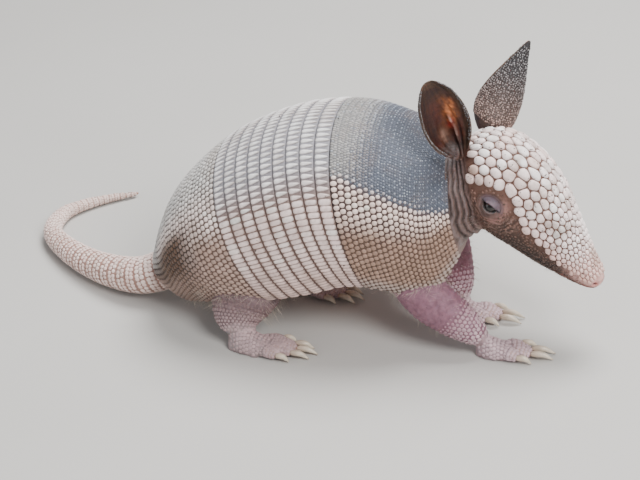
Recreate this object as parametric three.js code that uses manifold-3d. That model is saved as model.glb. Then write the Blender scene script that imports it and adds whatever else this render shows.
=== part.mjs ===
// A young nine-banded armadillo as a still, life-size model.
// Millimetres. +X points forward, +Y to the animal's left, +Z up. The floor is z = 0.
import * as THREE from 'three';
import Module from 'manifold-3d';
import { mergeVertices } from 'three/addons/utils/BufferGeometryUtils.js';

const wasm = await Module();
wasm.setup();

// ---- Driving dimensions ----
const GAP = 0.3; // air left between neighbouring pieces
const PLATE_DEPTH = 2.0; // thickness of the shell plates
const PLATE_LIFT = 0.5; // the rear edge of each plate stands this far over the next
const SEAM = 0.011; // half the slit between two plates, in stations
const FLESH_DEPTH = PLATE_DEPTH + 2 * GAP; // from the shell's outer face down to the trunk
const BELLY_DROP = 8.5; // how far the belly hangs under the shell's hem
const CHEST_BULGE = 9; // how far the chest stands out before the shell
const RUMP_POLE = 0.4; // height of the trunk's rear end, as a share from hem to crest
const CHEST_POLE = 0.3; // height of its front end, likewise
const SIDE_TURN = THREE.MathUtils.degToRad(128); // angle from the crest round to the hem
const WAIST = 0.42; // widest height of a section, as a share of the section's height

// Sections of the shell from tail to neck: crest x, crest z, hem x, hem z, half width.
const SHELL = [
  [-80, 26, -74, 12, 14],
  [-74, 43, -62, 10.5, 25],
  [-66, 59, -50, 14, 34],
  [-53, 74, -34, 18.5, 41],
  [-37.5, 87, -12, 23.5, 45],
  [-18.5, 97, 7, 29, 47],
  [2, 103.5, 24, 34.5, 47],
  [25, 105.5, 38, 34, 46],
  [44, 101.5, 53, 31, 43.5],
  [58.5, 95, 66, 34, 38.5],
  [69, 87, 75.5, 47, 30],
];
const LAST = SHELL.length - 1;
const BAND_COUNT = 9;
const PELVIS_END = 3.85; // station where the pelvic shield ends and the bands start
const BANDS_END = 6.65; // station where the bands end and the shoulder shield starts

// The head, from the back of the skull to the nose.
const HEAD = {
  spine: [[70, -1.5, 86], [94, -7, 73.5], [117, -14, 52.5], [136.5, -20.5, 34.5]],
  side: [15, 20.5, 21.5, 20, 16.5, 12.8, 9.8, 7.4],
  over: [22, 26, 25.2, 22.2, 17.6, 13.1, 9.3, 6.6],
  under: [16, 21, 22.5, 21, 17.5, 14.6, 11.9, 9],
  up: [0, 0, 1],
  blunt: 0.5,
};
const NECK = {
  spine: [[54, 0, 62], [69, -1, 69], [84, -4, 77]],
  side: [28, 26.5, 21],
  over: [23, 20, 18],
  under: [22, 23, 21],
  up: [0, 0, 1],
  blunt: 0.3,
};
const EYE_RADIUS = 3.7;
const EYE_ALONG = 0.33; // how far along the head the eyes sit, 0 to 1
const EYE_TURN = THREE.MathUtils.degToRad(2); // how far they sit above the head's widest line
const EYE_SUNK = 2.6; // depth of the eyeball's centre under the skin

// The tail, from the shell to the tip, lying on the floor.
const TAIL_RADII = [12, 9.9, 8.2, 6.6, 5.3, 4.2, 3.2, 2];
const TAIL = {
  spine: [[-70, -2, 18], [-88, -5, 12.5], [-113, 5, 8.5], [-138, 22, 6.6], [-156, 42, 5.3], [-158, 64, 4.2],
    [-145, 81, 3.2], [-126, 94, 2.1]],
  side: TAIL_RADII,
  over: TAIL_RADII,
  under: TAIL_RADII,
  up: [0, 0, 1],
  blunt: 0.12,
};
const TAIL_CUTS = [0.3, 0.53, 0.77]; // where the tail is parted, as shares of its length

// Facets: points round a section, and rings from end to end.
const HEAD_FACETS = [18, 13];
const NECK_FACETS = [16, 6];
const EAR_FACETS = [12, 8];
const TAIL_FACETS = [10, 8];
const LEG_FACETS = [14, 8];
const SOLE_FACETS = [12, 7];
const TOE_FACETS = [6, 4];
const CLAW_FACETS = [5, 4];

const SHIELD_TAN = 0xb9a995;
const BAND_TAN = 0xc4b8ab;
const SLATE = 0x7d7a76;
const PINK = 0xcdb0a8;
const PALE_PINK = 0xe2d3cd;
const NECK_BROWN = 0x8d7b72;
const EAR_BROWN = 0x6b5248;
const TAIL_PINK = 0xd8c3bc;
const FOOT_PINK = 0xd6c0ba;
const HORN = 0xcbb79c;
const EYE_DARK = 0x17120f;
const WET = 0.15; // roughness of the eyes
const POLISHED = 0.4; // roughness of the claws

// ---- Curves ----
// Catmull-Rom value of a list of numbers at station s, carried on in a straight line past the ends.
function spline(values, s) {
  const last = values.length - 1;
  const i = THREE.MathUtils.clamp(Math.floor(s), 0, last - 1);
  const value = (k) => {
    if (k < 0) return 2 * values[0] - values[1];
    if (k > last) return 2 * values[last] - values[last - 1];
    return values[k];
  };
  const t = s - i;
  if (t < 0) return values[0] + t * (values[1] - values[0]);
  if (t > 1) return values[last] + (t - 1) * (values[last] - values[last - 1]);
  const [a, b, c, d] = [value(i - 1), value(i), value(i + 1), value(i + 2)];
  return b + 0.5 * t * (c - a + t * (2 * a - 5 * b + 4 * c - d + t * (3 * (b - c) + d - a)));
}

// The same for a list of points or rows, with t from 0 to 1 along the whole list.
function along(rows, t) {
  const s = t * (rows.length - 1);
  return rows[0].map((_, k) => spline(rows.map((row) => row[k]), s));
}

const share = (values, t) => spline(values, t * (values.length - 1));

// ---- The shell's outer surface ----
// s is the station and v runs from -1 at the right hem over the crest to 1 at the left hem.
function shellSurface(s, v) {
  const [crestX, crestZ, hemX, hemZ, half] = along(SHELL, s / LAST);
  const crest = new THREE.Vector3(crestX, 0, crestZ);
  const hem = new THREE.Vector3(hemX, 0, hemZ);
  const height = crest.distanceTo(hem);
  const rise = crest.clone().sub(hem).normalize();
  const waist = WAIST * height;
  const turn = Math.abs(v) * SIDE_TURN;
  const reach = turn <= Math.PI / 2 ? height - waist : waist / -Math.cos(SIDE_TURN);
  const point = hem.addScaledVector(rise, waist + reach * Math.cos(turn));
  point.y = Math.sign(v) * half * Math.sin(turn);
  return point;
}

// A point at a depth under the shell's outer face, measured square to it.
function shellPoint(s, v, depth) {
  const step = 0.02;
  const inside = THREE.MathUtils.clamp(v, step - 1, 1 - step);
  const forward = shellSurface(s + step, inside).sub(shellSurface(s - step, inside));
  const leftward = shellSurface(s, inside + step).sub(shellSurface(s, inside - step));
  const normal = forward.cross(leftward).normalize();
  return shellSurface(s, v).addScaledVector(normal, -depth);
}

// ---- Solids ----
// A closed loft: place(u, t) gives the point at u round the section and t from 0 to 1 along it.
// Seen along the loft, u runs anticlockwise. At t = 0 and t = 1 the section closes to a point.
function loft(around, rings, place) {
  const geometry = new THREE.SphereGeometry(1, around, rings);
  const { position, uv } = geometry.attributes;
  for (let i = 0; i < position.count; i += 1) {
    const point = place(uv.getX(i) % 1, 1 - uv.getY(i));
    position.setXYZ(i, point.x, point.y, point.z);
  }
  return geometry;
}

// The frame of a limb at t: its centre, its direction, its own up and its right-hand side.
function frameAt(limb, t) {
  const step = 0.01;
  const centre = new THREE.Vector3(...along(limb.spine, t));
  const ahead = new THREE.Vector3(...along(limb.spine, t + step))
    .sub(new THREE.Vector3(...along(limb.spine, t - step))).normalize();
  const up = new THREE.Vector3(...limb.up);
  up.addScaledVector(ahead, -up.dot(ahead)).normalize();
  const right = ahead.clone().cross(up);
  return { centre, ahead, up, right };
}

// A point on a limb's skin: turn is the angle from its right side up and round, grow moves it outward.
function limbPoint(limb, t, turn, scale = 1, grow = 0) {
  const { centre, up, right } = frameAt(limb, t);
  const side = scale * (share(limb.side, t) + grow);
  const height = scale * (share(Math.sin(turn) < 0 ? limb.under : limb.over, t) + grow);
  return centre.addScaledVector(right, side * Math.cos(turn)).addScaledVector(up, height * Math.sin(turn));
}

// How full a section is at t: nothing at both ends, one between. A small blunt gives square ends.
const closing = (t, blunt) => Math.sin(Math.PI * Math.min(t, 1 - t)) ** blunt;

// A limb from share `from` to share `to` of its spine, kept at or above the floor.
function limb(spec, around, rings, grow = 0, from = 0, to = 1, floor = 0) {
  const margin = grow / spineLength(spec);
  return loft(around, rings, (u, t) => {
    const turn = Math.PI * t;
    const blend = (1 - Math.cos(turn)) / 2;
    const where = from - margin + blend * (to - from + 2 * margin);
    const point = limbPoint(spec, where, 2 * Math.PI * u, closing(t, spec.blunt), grow);
    point.z = Math.max(point.z, floor);
    return point;
  });
}

function spineLength(spec) {
  return new THREE.CatmullRomCurve3(spec.spine.map((p) => new THREE.Vector3(...p))).getLength();
}

function toSolid(geometry) {
  const bare = geometry.clone();
  bare.deleteAttribute('uv');
  bare.deleteAttribute('normal');
  const merged = mergeVertices(bare, 1e-3);
  return new wasm.Manifold(new wasm.Mesh({
    numProp: 3,
    vertProperties: new Float32Array(merged.attributes.position.array),
    triVerts: new Uint32Array(merged.index.array),
  }));
}

function toGeometry(solid) {
  const { vertProperties, triVerts } = solid.getMesh();
  const geometry = new THREE.BufferGeometry();
  geometry.setAttribute('position', new THREE.BufferAttribute(vertProperties, 3));
  geometry.setIndex(new THREE.BufferAttribute(triVerts, 1));
  geometry.computeVertexNormals();
  return geometry;
}

// The biggest of the bodies a cut leaves, so that no crumb stays beside it.
function biggest(solid) {
  return solid.decompose().reduce((best, piece) => (piece.volume() > best.volume() ? piece : best));
}

const armadillo = new THREE.Group();
armadillo.name = 'armadillo';

function addPart(name, geometry, color, roughness = 0.8) {
  const mesh = new THREE.Mesh(geometry, new THREE.MeshStandardMaterial({ color, roughness, metalness: 0 }));
  mesh.name = name;
  armadillo.add(mesh);
}

const addSolid = (name, solid, color, roughness) => addPart(name, toGeometry(biggest(solid)), color, roughness);

const whole = (spec, [around, rings], grow = 0, floor = 0) => toSolid(limb(spec, around, rings, grow, 0, 1, floor));

// ---- The shell's plates ----
// One plate between two stations, cut in columns from hem to hem.
function plate(from, to, rows, columns) {
  const geometry = new THREE.BoxGeometry(1, 1, 1, rows, columns, 1);
  const { position } = geometry.attributes;
  for (let i = 0; i < position.count; i += 1) {
    const forward = position.getX(i) + 0.5;
    const s = from + SEAM + forward * (to - from - 2 * SEAM);
    const lift = position.getZ(i) > 0 ? PLATE_LIFT * (1 - forward) : 0;
    const point = shellPoint(s, 2 * position.getY(i), position.getZ(i) > 0 ? -lift : PLATE_DEPTH);
    position.setXYZ(i, point.x, point.y, point.z);
  }
  geometry.computeVertexNormals();
  return geometry;
}

const COLUMNS = 20;
const SHIELD_ROWS = 6;
const bandWidth = (BANDS_END - PELVIS_END) / BAND_COUNT;
addPart('pelvic_shield', plate(0, PELVIS_END, SHIELD_ROWS, COLUMNS), SHIELD_TAN);
addPart('shoulder_shield', plate(BANDS_END, LAST, SHIELD_ROWS, COLUMNS), SLATE);
for (let band = 1; band <= BAND_COUNT; band += 1) {
  const front = BANDS_END - (band - 1) * bandWidth;
  addPart(`band_${band}`, plate(front - bandWidth, front, 1, COLUMNS), BAND_TAN);
}

// ---- The trunk: all that the shell covers, closed by the belly ----
// depth is how far it lies under the shell's outer face and slack how far it reaches past the ends.
function trunk(columns, rings, depth, drop, slack) {
  const bellyColumns = 6;
  const around = columns + bellyColumns;
  const belly = bellyColumns / around;
  return loft(around, rings, (u, t) => {
    const inner = THREE.MathUtils.clamp((t * rings - 1) / (rings - 2), 0, 1);
    const s = -slack + inner * (LAST + 2 * slack);
    const edge = shellPoint(s, 1, depth);
    const crest = shellPoint(s, 0, depth);
    if (t === 0) return new THREE.Vector3(edge.x, 0, edge.z).lerp(crest, RUMP_POLE);
    if (t === 1) return new THREE.Vector3(edge.x + CHEST_BULGE, 0, edge.z).lerp(crest, CHEST_POLE);
    const covered = (u + belly / 2) % 1;
    if (covered >= belly) return shellPoint(s, 2 * (covered - belly) / (1 - belly) - 1, depth);
    const across = 1 - 2 * covered / belly;
    const sag = drop * (1 - across * across);
    return new THREE.Vector3(edge.x, edge.y * across, edge.z - sag);
  });
}

const TRUNK_RINGS = 14;
addPart('trunk', trunk(COLUMNS, TRUNK_RINGS, FLESH_DEPTH, BELLY_DROP, 0), PINK);
const ENVELOPE_SLACK = 0.03; // stations by which the cutter outruns the shell at both ends
const envelope = toSolid(
  trunk(COLUMNS, 2 * TRUNK_RINGS, -PLATE_LIFT - GAP, BELLY_DROP + GAP, ENVELOPE_SLACK),
);

// ---- Head, neck, eyes and ears ----
const RIGHT = 1;
const LEFT = -1;
const SIDES = [['right', RIGHT], ['left', LEFT]];

// The centre of an eye, under the head's skin.
function eyeCentre(hand) {
  const turn = hand === RIGHT ? EYE_TURN : Math.PI - EYE_TURN;
  const { centre } = frameAt(HEAD, EYE_ALONG);
  const skin = limbPoint(HEAD, EYE_ALONG, turn);
  return skin.add(centre.sub(skin).setLength(EYE_SUNK));
}

function ball(centre, radius) {
  return new THREE.SphereGeometry(radius, 10, 7).translate(centre.x, centre.y, centre.z);
}

// An ear: a cupped leaf on a stalk. Along it go the half width, the arc it is bent to and its thickness.
const EAR = {
  bend: [2.4, 1.9, 1.4, 1.15, 1.0, 0.9, 0.8],
  thick: [3.2, 2.6, 1.9, 1.6, 1.5, 1.4, 1.2],
};
const EARS = {
  right: {
    root: [76, -16.5, 92], tip: [63, -24, 131], facing: [0.6, -0.8, 0.1],
    half: [4.4, 8.2, 10.2, 10.7, 10.2, 8.8, 5.6],
  },
  left: {
    root: [81, 8.5, 93], tip: [100.5, 18.5, 133], facing: [-0.25, 0.97, -0.1],
    half: [5.6, 9.9, 10.2, 8.6, 6.3, 3.7, 1.5],
  },
};

function ear(place, around, rings, grow = 0) {
  const root = new THREE.Vector3(...place.root);
  const rise = new THREE.Vector3(...place.tip).sub(root);
  const out = new THREE.Vector3(...place.facing);
  out.addScaledVector(rise, -out.dot(rise) / rise.lengthSq()).normalize();
  const right = rise.clone().normalize().cross(out);
  return loft(around, rings, (u, t) => {
    const turn = Math.PI * t;
    const height = (1 - Math.cos(turn)) / 2;
    const close = closing(t, 0.5);
    const half = close * share(place.half, height);
    const bend = share(EAR.bend, height);
    const thick = close * share(EAR.thick, height) / 2 + grow;
    const angle = bend * Math.cos(2 * Math.PI * u); // goes to and fro along the cupped arc
    const radius = half / Math.sin(Math.min(bend, Math.PI / 2)) + thick * Math.sin(-2 * Math.PI * u);
    const back = radius * Math.cos(angle) - half * Math.cos(bend) / Math.sin(Math.min(bend, Math.PI / 2));
    return root.clone().addScaledVector(rise, height)
      .addScaledVector(right, radius * Math.sin(angle))
      .addScaledVector(out, -back);
  });
}

let head = whole(HEAD, HEAD_FACETS);
for (const [name, hand] of SIDES) {
  head = head.subtract(toSolid(ball(eyeCentre(hand), EYE_RADIUS + GAP)));
  addPart(`eye_${name}`, ball(eyeCentre(hand), EYE_RADIUS), EYE_DARK, WET);
}
const headCutter = whole(HEAD, HEAD_FACETS, GAP);
const neckCutter = whole(NECK, NECK_FACETS, GAP);
addSolid('head', head.subtract(envelope), PALE_PINK);
addSolid('neck', whole(NECK, NECK_FACETS).subtract(envelope).subtract(headCutter), NECK_BROWN);
for (const [name] of SIDES) {
  const solid = toSolid(ear(EARS[name], ...EAR_FACETS));
  addSolid(`ear_${name}`, solid.subtract(headCutter).subtract(neckCutter).subtract(envelope), EAR_BROWN);
}

// ---- Tail ----
const TAIL_ENDS = [0, ...TAIL_CUTS, 1];
const slit = GAP / 2 / spineLength(TAIL);
for (let i = 1; i < TAIL_ENDS.length; i += 1) {
  const length = limb(TAIL, ...TAIL_FACETS, 0, TAIL_ENDS[i - 1] + slit, TAIL_ENDS[i] - slit);
  addSolid(`tail_${i}`, toSolid(length).subtract(envelope), TAIL_PINK);
}

// ---- Legs ----
// Each leg has a spine from under the shell down to the ankle, and a foot flat on the floor.
const LEGS = {
  hind_right: {
    spine: [[-24, -21, 38], [-25.5, -26, 26], [-28.5, -35, 15.5], [-28.5, -41.5, 7]],
    side: [11, 10.5, 9.5, 7], over: [19, 18.5, 13.5, 8], under: [19, 18, 14, 9],
    foot: { at: [-27, -42], heading: -2, kind: 'hind' },
  },
  hind_left: {
    spine: [[-22, 25, 38], [-20, 27, 26], [-17, 19, 15], [-16, 14, 7]],
    side: [12, 12, 10, 7], over: [17, 16, 12, 8], under: [17, 16, 12.5, 8.5],
    foot: { at: [-15, 14], heading: -14, kind: 'hind' },
  },
  fore_right: {
    spine: [[46, -24, 42], [59, -29, 28], [73, -31, 18], [86, -31, 8]],
    side: [11, 10.5, 9, 6.8], over: [12.5, 11.5, 9.8, 6.5], under: [12.5, 11.5, 9.8, 6.5],
    foot: { at: [86, -31], heading: 2, kind: 'fore' },
  },
  fore_left: {
    spine: [[54, 22, 44], [61, 15, 31], [67, 6, 18], [69, 1, 8]],
    side: [11, 10.5, 8.5, 6.8], over: [12.5, 11, 8.5, 6.5], under: [12.5, 11, 8.5, 6.5],
    foot: { at: [68, 0], heading: -5, kind: 'fore' },
  },
};

// Feet: half width and height of the sole's pad from heel to toes, then each toe's place and claw.
const FEET = {
  hind: {
    heel: -7, ball: 17, side: [5.2, 6, 7.2, 7.6, 6], over: [8.5, 11, 9.5, 7.5, 4.5],
    toes: [[-7.6, 21, 5], [-4, 27, 7.5], [0, 29, 8.5], [4, 27, 7.5], [7.6, 20, 5]],
  },
  fore: {
    heel: -5, ball: 13, side: [4.8, 5.6, 6.6, 7, 5.6], over: [7, 10, 9, 7, 4.5],
    toes: [[-6.2, 16, 5.5], [-2.2, 22, 9], [2.2, 22, 9.5], [6.4, 17, 6]],
  },
};
const TOE_RADIUS = 2.7;
const FORWARD = [1, 0, 0];

// A point of a foot's own frame: forward of the ankle, left of it and above the floor.
function footPoint(foot, forward, left, height) {
  const turn = THREE.MathUtils.degToRad(foot.heading);
  const [x, y] = foot.at;
  return [
    x + forward * Math.cos(turn) - left * Math.sin(turn),
    y + forward * Math.sin(turn) + left * Math.cos(turn),
    height,
  ];
}

function toeSpec(foot, [left, reach]) {
  const splay = left * 0.55;
  const radii = [TOE_RADIUS, TOE_RADIUS * 1.05, TOE_RADIUS * 0.9];
  return {
    spine: [
      footPoint(foot, reach * 0.4, splay, 3.2),
      footPoint(foot, reach * 0.72, (splay + left) / 2, 3.4),
      footPoint(foot, reach, left, 2.4),
    ],
    side: radii, over: radii, under: radii, up: [0, 0, 1], blunt: 0.5,
  };
}

function clawSpec(foot, [left, reach, length]) {
  const out = left * (1 + 0.35 * length / reach);
  return {
    spine: [
      footPoint(foot, reach - 1.5, left, 3),
      footPoint(foot, reach + length * 0.45, (left + out) / 2, 3),
      footPoint(foot, reach + length, out, 0.7),
    ],
    side: [1.7, 1.4, 0.4], over: [1.9, 1.5, 0.4], under: [1.7, 1.2, 0.4], up: [0, 0, 1], blunt: 0.5,
  };
}

function footSolid(foot, grow = 0) {
  const { heel, ball: front, side, over, toes } = FEET[foot.kind];
  const sole = {
    spine: [footPoint(foot, heel, 0, 0), footPoint(foot, front, 0, 0)],
    side, over, under: over, up: [0, 0, 1], blunt: 0.5,
  };
  const floor = -grow;
  return toes.reduce(
    (solid, toe) => solid.add(whole(toeSpec(foot, toe), TOE_FACETS, grow, floor)),
    whole(sole, SOLE_FACETS, grow, floor),
  );
}

for (const [name, leg] of Object.entries(LEGS)) {
  const { foot } = leg;
  const grownFoot = footSolid(foot, GAP);
  const spec = { ...leg, up: FORWARD, blunt: 0.35 };
  addSolid(`leg_${name}`, whole(spec, LEG_FACETS).subtract(envelope).subtract(grownFoot), PINK);
  addSolid(`foot_${name}`, footSolid(foot), FOOT_PINK);
  FEET[foot.kind].toes.forEach((toe, i) => {
    const claw = whole(clawSpec(foot, toe), CLAW_FACETS).subtract(grownFoot);
    addSolid(`claw_${name}_${i + 1}`, claw, HORN, POLISHED);
  });
}

// The origin lies on the floor, under the middle of the whole body's box.
const middle = new THREE.Box3().setFromObject(armadillo).getCenter(new THREE.Vector3());
armadillo.children.forEach((mesh) => mesh.geometry.translate(-middle.x, -middle.y, 0));

export default armadillo;
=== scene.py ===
"""Looks of a young nine-banded armadillo: shell, skin, scutes, ears, eyes, claws and hairs."""
import logging
import math
from dataclasses import dataclass, field
from enum import Enum
from functools import cache

import bmesh
import bpy
import numpy as np
from mathutils import Matrix, Vector
from mathutils.bvhtree import BVHTree


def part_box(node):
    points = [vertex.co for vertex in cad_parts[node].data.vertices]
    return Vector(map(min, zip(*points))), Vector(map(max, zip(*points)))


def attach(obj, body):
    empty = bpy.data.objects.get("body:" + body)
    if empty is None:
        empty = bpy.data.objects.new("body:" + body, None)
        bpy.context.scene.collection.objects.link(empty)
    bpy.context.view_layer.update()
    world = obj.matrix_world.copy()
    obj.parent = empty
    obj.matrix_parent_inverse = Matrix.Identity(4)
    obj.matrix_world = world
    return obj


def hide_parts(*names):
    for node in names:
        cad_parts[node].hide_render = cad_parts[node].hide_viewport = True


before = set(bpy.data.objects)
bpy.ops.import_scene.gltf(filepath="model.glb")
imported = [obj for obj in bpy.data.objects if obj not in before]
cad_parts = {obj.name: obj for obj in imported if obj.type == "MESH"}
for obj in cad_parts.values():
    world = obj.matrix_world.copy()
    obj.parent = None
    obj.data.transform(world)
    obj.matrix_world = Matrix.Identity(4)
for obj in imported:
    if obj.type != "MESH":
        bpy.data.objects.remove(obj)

log = logging.getLogger("armadillo")
MM = 0.001
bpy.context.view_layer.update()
Array = np.ndarray
Mesh = bpy.types.Mesh
Obj = bpy.types.Object
Socket = bpy.types.NodeSocket
Tree = bpy.types.NodeTree


# ---- curves and arrays
def spline(rows: "Array | tuple", s: "Array | float") -> Array:
    """Reads a Catmull-Rom curve, carried on in a straight line past its ends.

    Args:
        rows: numbers or points, one for each whole station.
        s: stations to read at.

    Returns:
        The value or point at each station.
    """
    rows = np.asarray(rows, float)
    last = len(rows) - 1
    padded = np.concatenate([[2 * rows[0] - rows[1]], rows, [2 * rows[-1] - rows[-2]]])
    s = np.asarray(s, float)
    i = np.clip(np.floor(s).astype(int), 0, last - 1)
    raw = s - i
    if rows.ndim > 1:
        raw = raw[..., None]
    t = np.clip(raw, 0, 1)
    a, b, c, d = (padded[i + k] for k in range(4))
    curve = b + 0.5 * t * (c - a + t * (2 * a - 5 * b + 4 * c - d + t * (3 * (b - c) + d - a)))
    before = np.minimum(raw, 0) * (rows[1] - rows[0])
    beyond = np.maximum(raw - 1, 0) * (rows[-1] - rows[-2])
    return curve + before + beyond


def size_of(vectors: Array) -> Array:
    """Lengths of vectors, one for each row."""
    return np.linalg.norm(vectors, axis=-1)


def unit(vectors: Array) -> Array:
    """Scales vectors to length one."""
    return vectors / np.maximum(np.linalg.norm(vectors, axis=-1, keepdims=True), 1e-9)


def paces(points: Array) -> Array:
    """Distances from each point of a line to the next."""
    return size_of(np.diff(points, axis=0))


def running(steps: Array) -> Array:
    """Sums steps up from nought."""
    return np.concatenate([[0], np.cumsum(steps)])


def smooth(low: float, high: float, x: Array) -> Array:
    """Rises smoothly from 0 at low to 1 at high."""
    t = np.clip((np.asarray(x, float) - low) / (high - low), 0, 1)
    return t * t * (3 - 2 * t)


def hump(x: Array, centre: float, width: float) -> Array:
    """A round hump of height one, centred, that falls to a third at the width."""
    return np.exp(-(((np.asarray(x, float) - centre) / width) ** 2))


def srgb(red: float, green: float, blue: float) -> Array:
    """Turns a colour as seen on a screen, 0 to 255, into linear light."""
    c = np.array([red, green, blue], float) / 255
    return np.where(c <= 0.04045, c / 12.92, ((c + 0.055) / 1.055) ** 2.4)


def blend(first: Array, second: Array, share: Array) -> Array:
    """Mixes two colours or arrays of colours by a share for each row."""
    share = np.asarray(share, float)[..., None]
    return first * (1 - share) + second * share


def washed(tint: Array, *washes: tuple) -> Array:
    """Lays washes of colour over tints.

    Args:
        tint: the tints below.
        washes: a screen colour and its share for each wash.

    Returns:
        The tints above.
    """
    for colour, share in washes:
        tint = blend(tint, srgb(*colour), share)
    return tint


def euler(x_axis: Array, z_axis: Array) -> Array:
    """Turns that carry local Z to z_axis and local X as near as can be to x_axis.

    Args:
        x_axis: wanted direction of local X, one row each.
        z_axis: direction of local Z, one row each.

    Returns:
        XYZ Euler angles, one row each.
    """
    z = unit(z_axis)
    x = unit(x_axis - (x_axis * z).sum(-1, keepdims=True) * z)
    y = np.cross(z, x)
    pitch = -np.arcsin(np.clip(x[:, 2], -1, 1))
    return np.stack([np.arctan2(y[:, 2], z[:, 2]), pitch, np.arctan2(x[:, 1], x[:, 0])], 1)


# ---- meshes
def grid_faces(rows: int, columns: int, start: int = 0, flip: bool = False) -> list:
    """Quads of an open grid of vertices stored row by row.

    Args:
        rows: rows of vertices.
        columns: vertices in a row.
        start: number of the first vertex.
        flip: whether the faces look the other way.

    Returns:
        The quads.
    """
    r, c = np.meshgrid(np.arange(rows - 1), np.arange(columns - 1), indexing="ij")
    a = start + r * columns + c
    quads = np.stack([a, a + columns, a + columns + 1, a + 1], -1).reshape(-1, 4)
    return (quads[:, ::-1] if flip else quads).tolist()


def ring_faces(first: int, rings: int, around: int, outward: bool = True) -> list:
    """Quads between rings of vertices stored ring by ring.

    Args:
        first: number of the first vertex.
        rings: how many rings.
        around: vertices in a ring.
        outward: whether the quads run on to the next ring before they turn.

    Returns:
        The quads.
    """
    k = np.arange(around)
    n = (k + 1) % around
    faces = []
    for a in first + around * np.arange(rings - 1):
        second, last = (around + k, n) if outward else (n, around + k)
        faces += np.stack([a + k, a + second, a + around + n, a + last], 1).tolist()
    return faces


def fan_faces(pole: int, first: int, around: int, ahead: bool) -> list:
    """Triangles from a pole to a ring.

    Args:
        pole: number of the pole.
        first: number of the ring's first vertex.
        around: vertices in the ring.
        ahead: whether the pole comes after the ring.

    Returns:
        The triangles.
    """
    k = np.arange(around)
    here, there, tip = first + k, first + (k + 1) % around, np.full(around, pole)
    return np.stack([here, tip, there] if ahead else [tip, here, there], 1).tolist()


def tube_faces(rings: int, around: int) -> list:
    """Faces of a closed loft: a pole, rings - 1 sections of around points, and a pole.

    Args:
        rings: steps along the loft.
        around: points of a section, anticlockwise as seen along the loft.

    Returns:
        Triangles at the poles and quads between the sections, facing out.
    """
    end = 1 + (rings - 1) * around
    faces = fan_faces(0, 1, around, False) + ring_faces(1, rings - 1, around)
    return faces + fan_faces(end, end - around, around, True)


def joined(lofts: list) -> tuple:
    """Puts closed lofts together as one.

    Args:
        lofts: the points and faces of each.

    Returns:
        All points, and all faces.
    """
    points, faces, count = [], [], 0
    for loft, tube in lofts:
        points.append(loft)
        faces += [[i + count for i in face] for face in tube]
        count += len(loft)
    return np.concatenate(points), faces


def new_object(name: str, points: Array, faces: list, smooth_shade: bool = True) -> Obj:
    """Puts a mesh into the scene as an object at the origin.

    Args:
        name: name of the mesh and of the object.
        points: its vertices, in metres.
        faces: its faces.
        smooth_shade: whether it is shaded round.

    Returns:
        The object.
    """
    mesh = bpy.data.meshes.new(name)
    mesh.from_pydata(np.asarray(points, float).tolist(), [], faces)
    mesh.update()
    if smooth_shade:
        mesh.shade_smooth()
    return show(name, mesh)


def show(name: str, data: bpy.types.ID) -> Obj:
    """Links an object of a mesh, lamp or camera into the scene.

    Args:
        name: name of the object.
        data: what it shows.

    Returns:
        The object.
    """
    obj = bpy.data.objects.new(name, data)
    bpy.context.collection.objects.link(obj)
    return obj


def discard(obj: Obj) -> None:
    """Removes an object and its mesh.

    Args:
        obj: the object.
    """
    mesh = obj.data
    bpy.data.objects.remove(obj)
    bpy.data.meshes.remove(mesh)


def read_rows(items: bpy.types.bpy_prop_collection, key: str) -> Array:
    """The positions of vertices, or another vector of theirs, one row each.

    Args:
        items: vertices or vertex normals.
        key: name of the vector.

    Returns:
        One row for each item.
    """
    out = np.empty(len(items) * 3, np.float32)
    items.foreach_get(key, out)
    return out.reshape(-1, 3).astype(float)


def coords(mesh: Mesh) -> Array:
    """The mesh's vertex positions, one row each."""
    return read_rows(mesh.vertices, "co")


def normals(mesh: Mesh) -> Array:
    """The mesh's vertex normals, one row each."""
    return read_rows(mesh.vertex_normals, "vector")


def set_coords(mesh: Mesh, points: Array) -> None:
    """Writes vertex positions back to a mesh."""
    mesh.vertices.foreach_set("co", np.ascontiguousarray(points, float).ravel())
    mesh.update()


def paint(mesh: Mesh, name: str, values: Array) -> None:
    """Stores a number, vector or colour for each vertex as a named attribute.

    Args:
        mesh: the mesh.
        name: name of the attribute; tint is a colour.
        values: one row for each vertex.
    """
    values = np.asarray(values, float)
    kind, key = {1: ("FLOAT", "value"), 2: ("FLOAT_VECTOR", "vector")}[values.ndim]
    if name == "tint":
        kind, key = "FLOAT_COLOR", "color"
        values = np.concatenate([values, np.ones((len(values), 1))], 1)
    layer = mesh.attributes.new(name, kind, "POINT")
    layer.data.foreach_set(key, np.ascontiguousarray(values).ravel())


def freeze(obj: Obj, name: str) -> Obj:
    """Turns an object with modifiers into a plain one and removes the first.

    Args:
        obj: the object with live modifiers.
        name: name of the plain object.

    Returns:
        A new object that holds the evaluated mesh.
    """
    graph = bpy.context.evaluated_depsgraph_get()
    mesh = bpy.data.meshes.new_from_object(obj.evaluated_get(graph), depsgraph=graph)
    discard(obj)
    mesh.name = name
    return show(name, mesh)


def set_bake_map(mesh: Mesh, corner_uv: Array) -> None:
    """Gives a mesh its OFBake map, one place for each face corner."""
    layer = mesh.uv_layers.new(name="OFBake")
    layer.data.foreach_set("uv", np.ascontiguousarray(corner_uv, float).ravel())


def face_out(obj: Obj) -> None:
    """Turns all faces of a closed piece outward.

    Args:
        obj: the piece.
    """
    work = bmesh.new()
    work.from_mesh(obj.data)
    bmesh.ops.recalc_face_normals(work, faces=work.faces)
    work.to_mesh(obj.data)
    work.free()
    obj.data.update()


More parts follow.
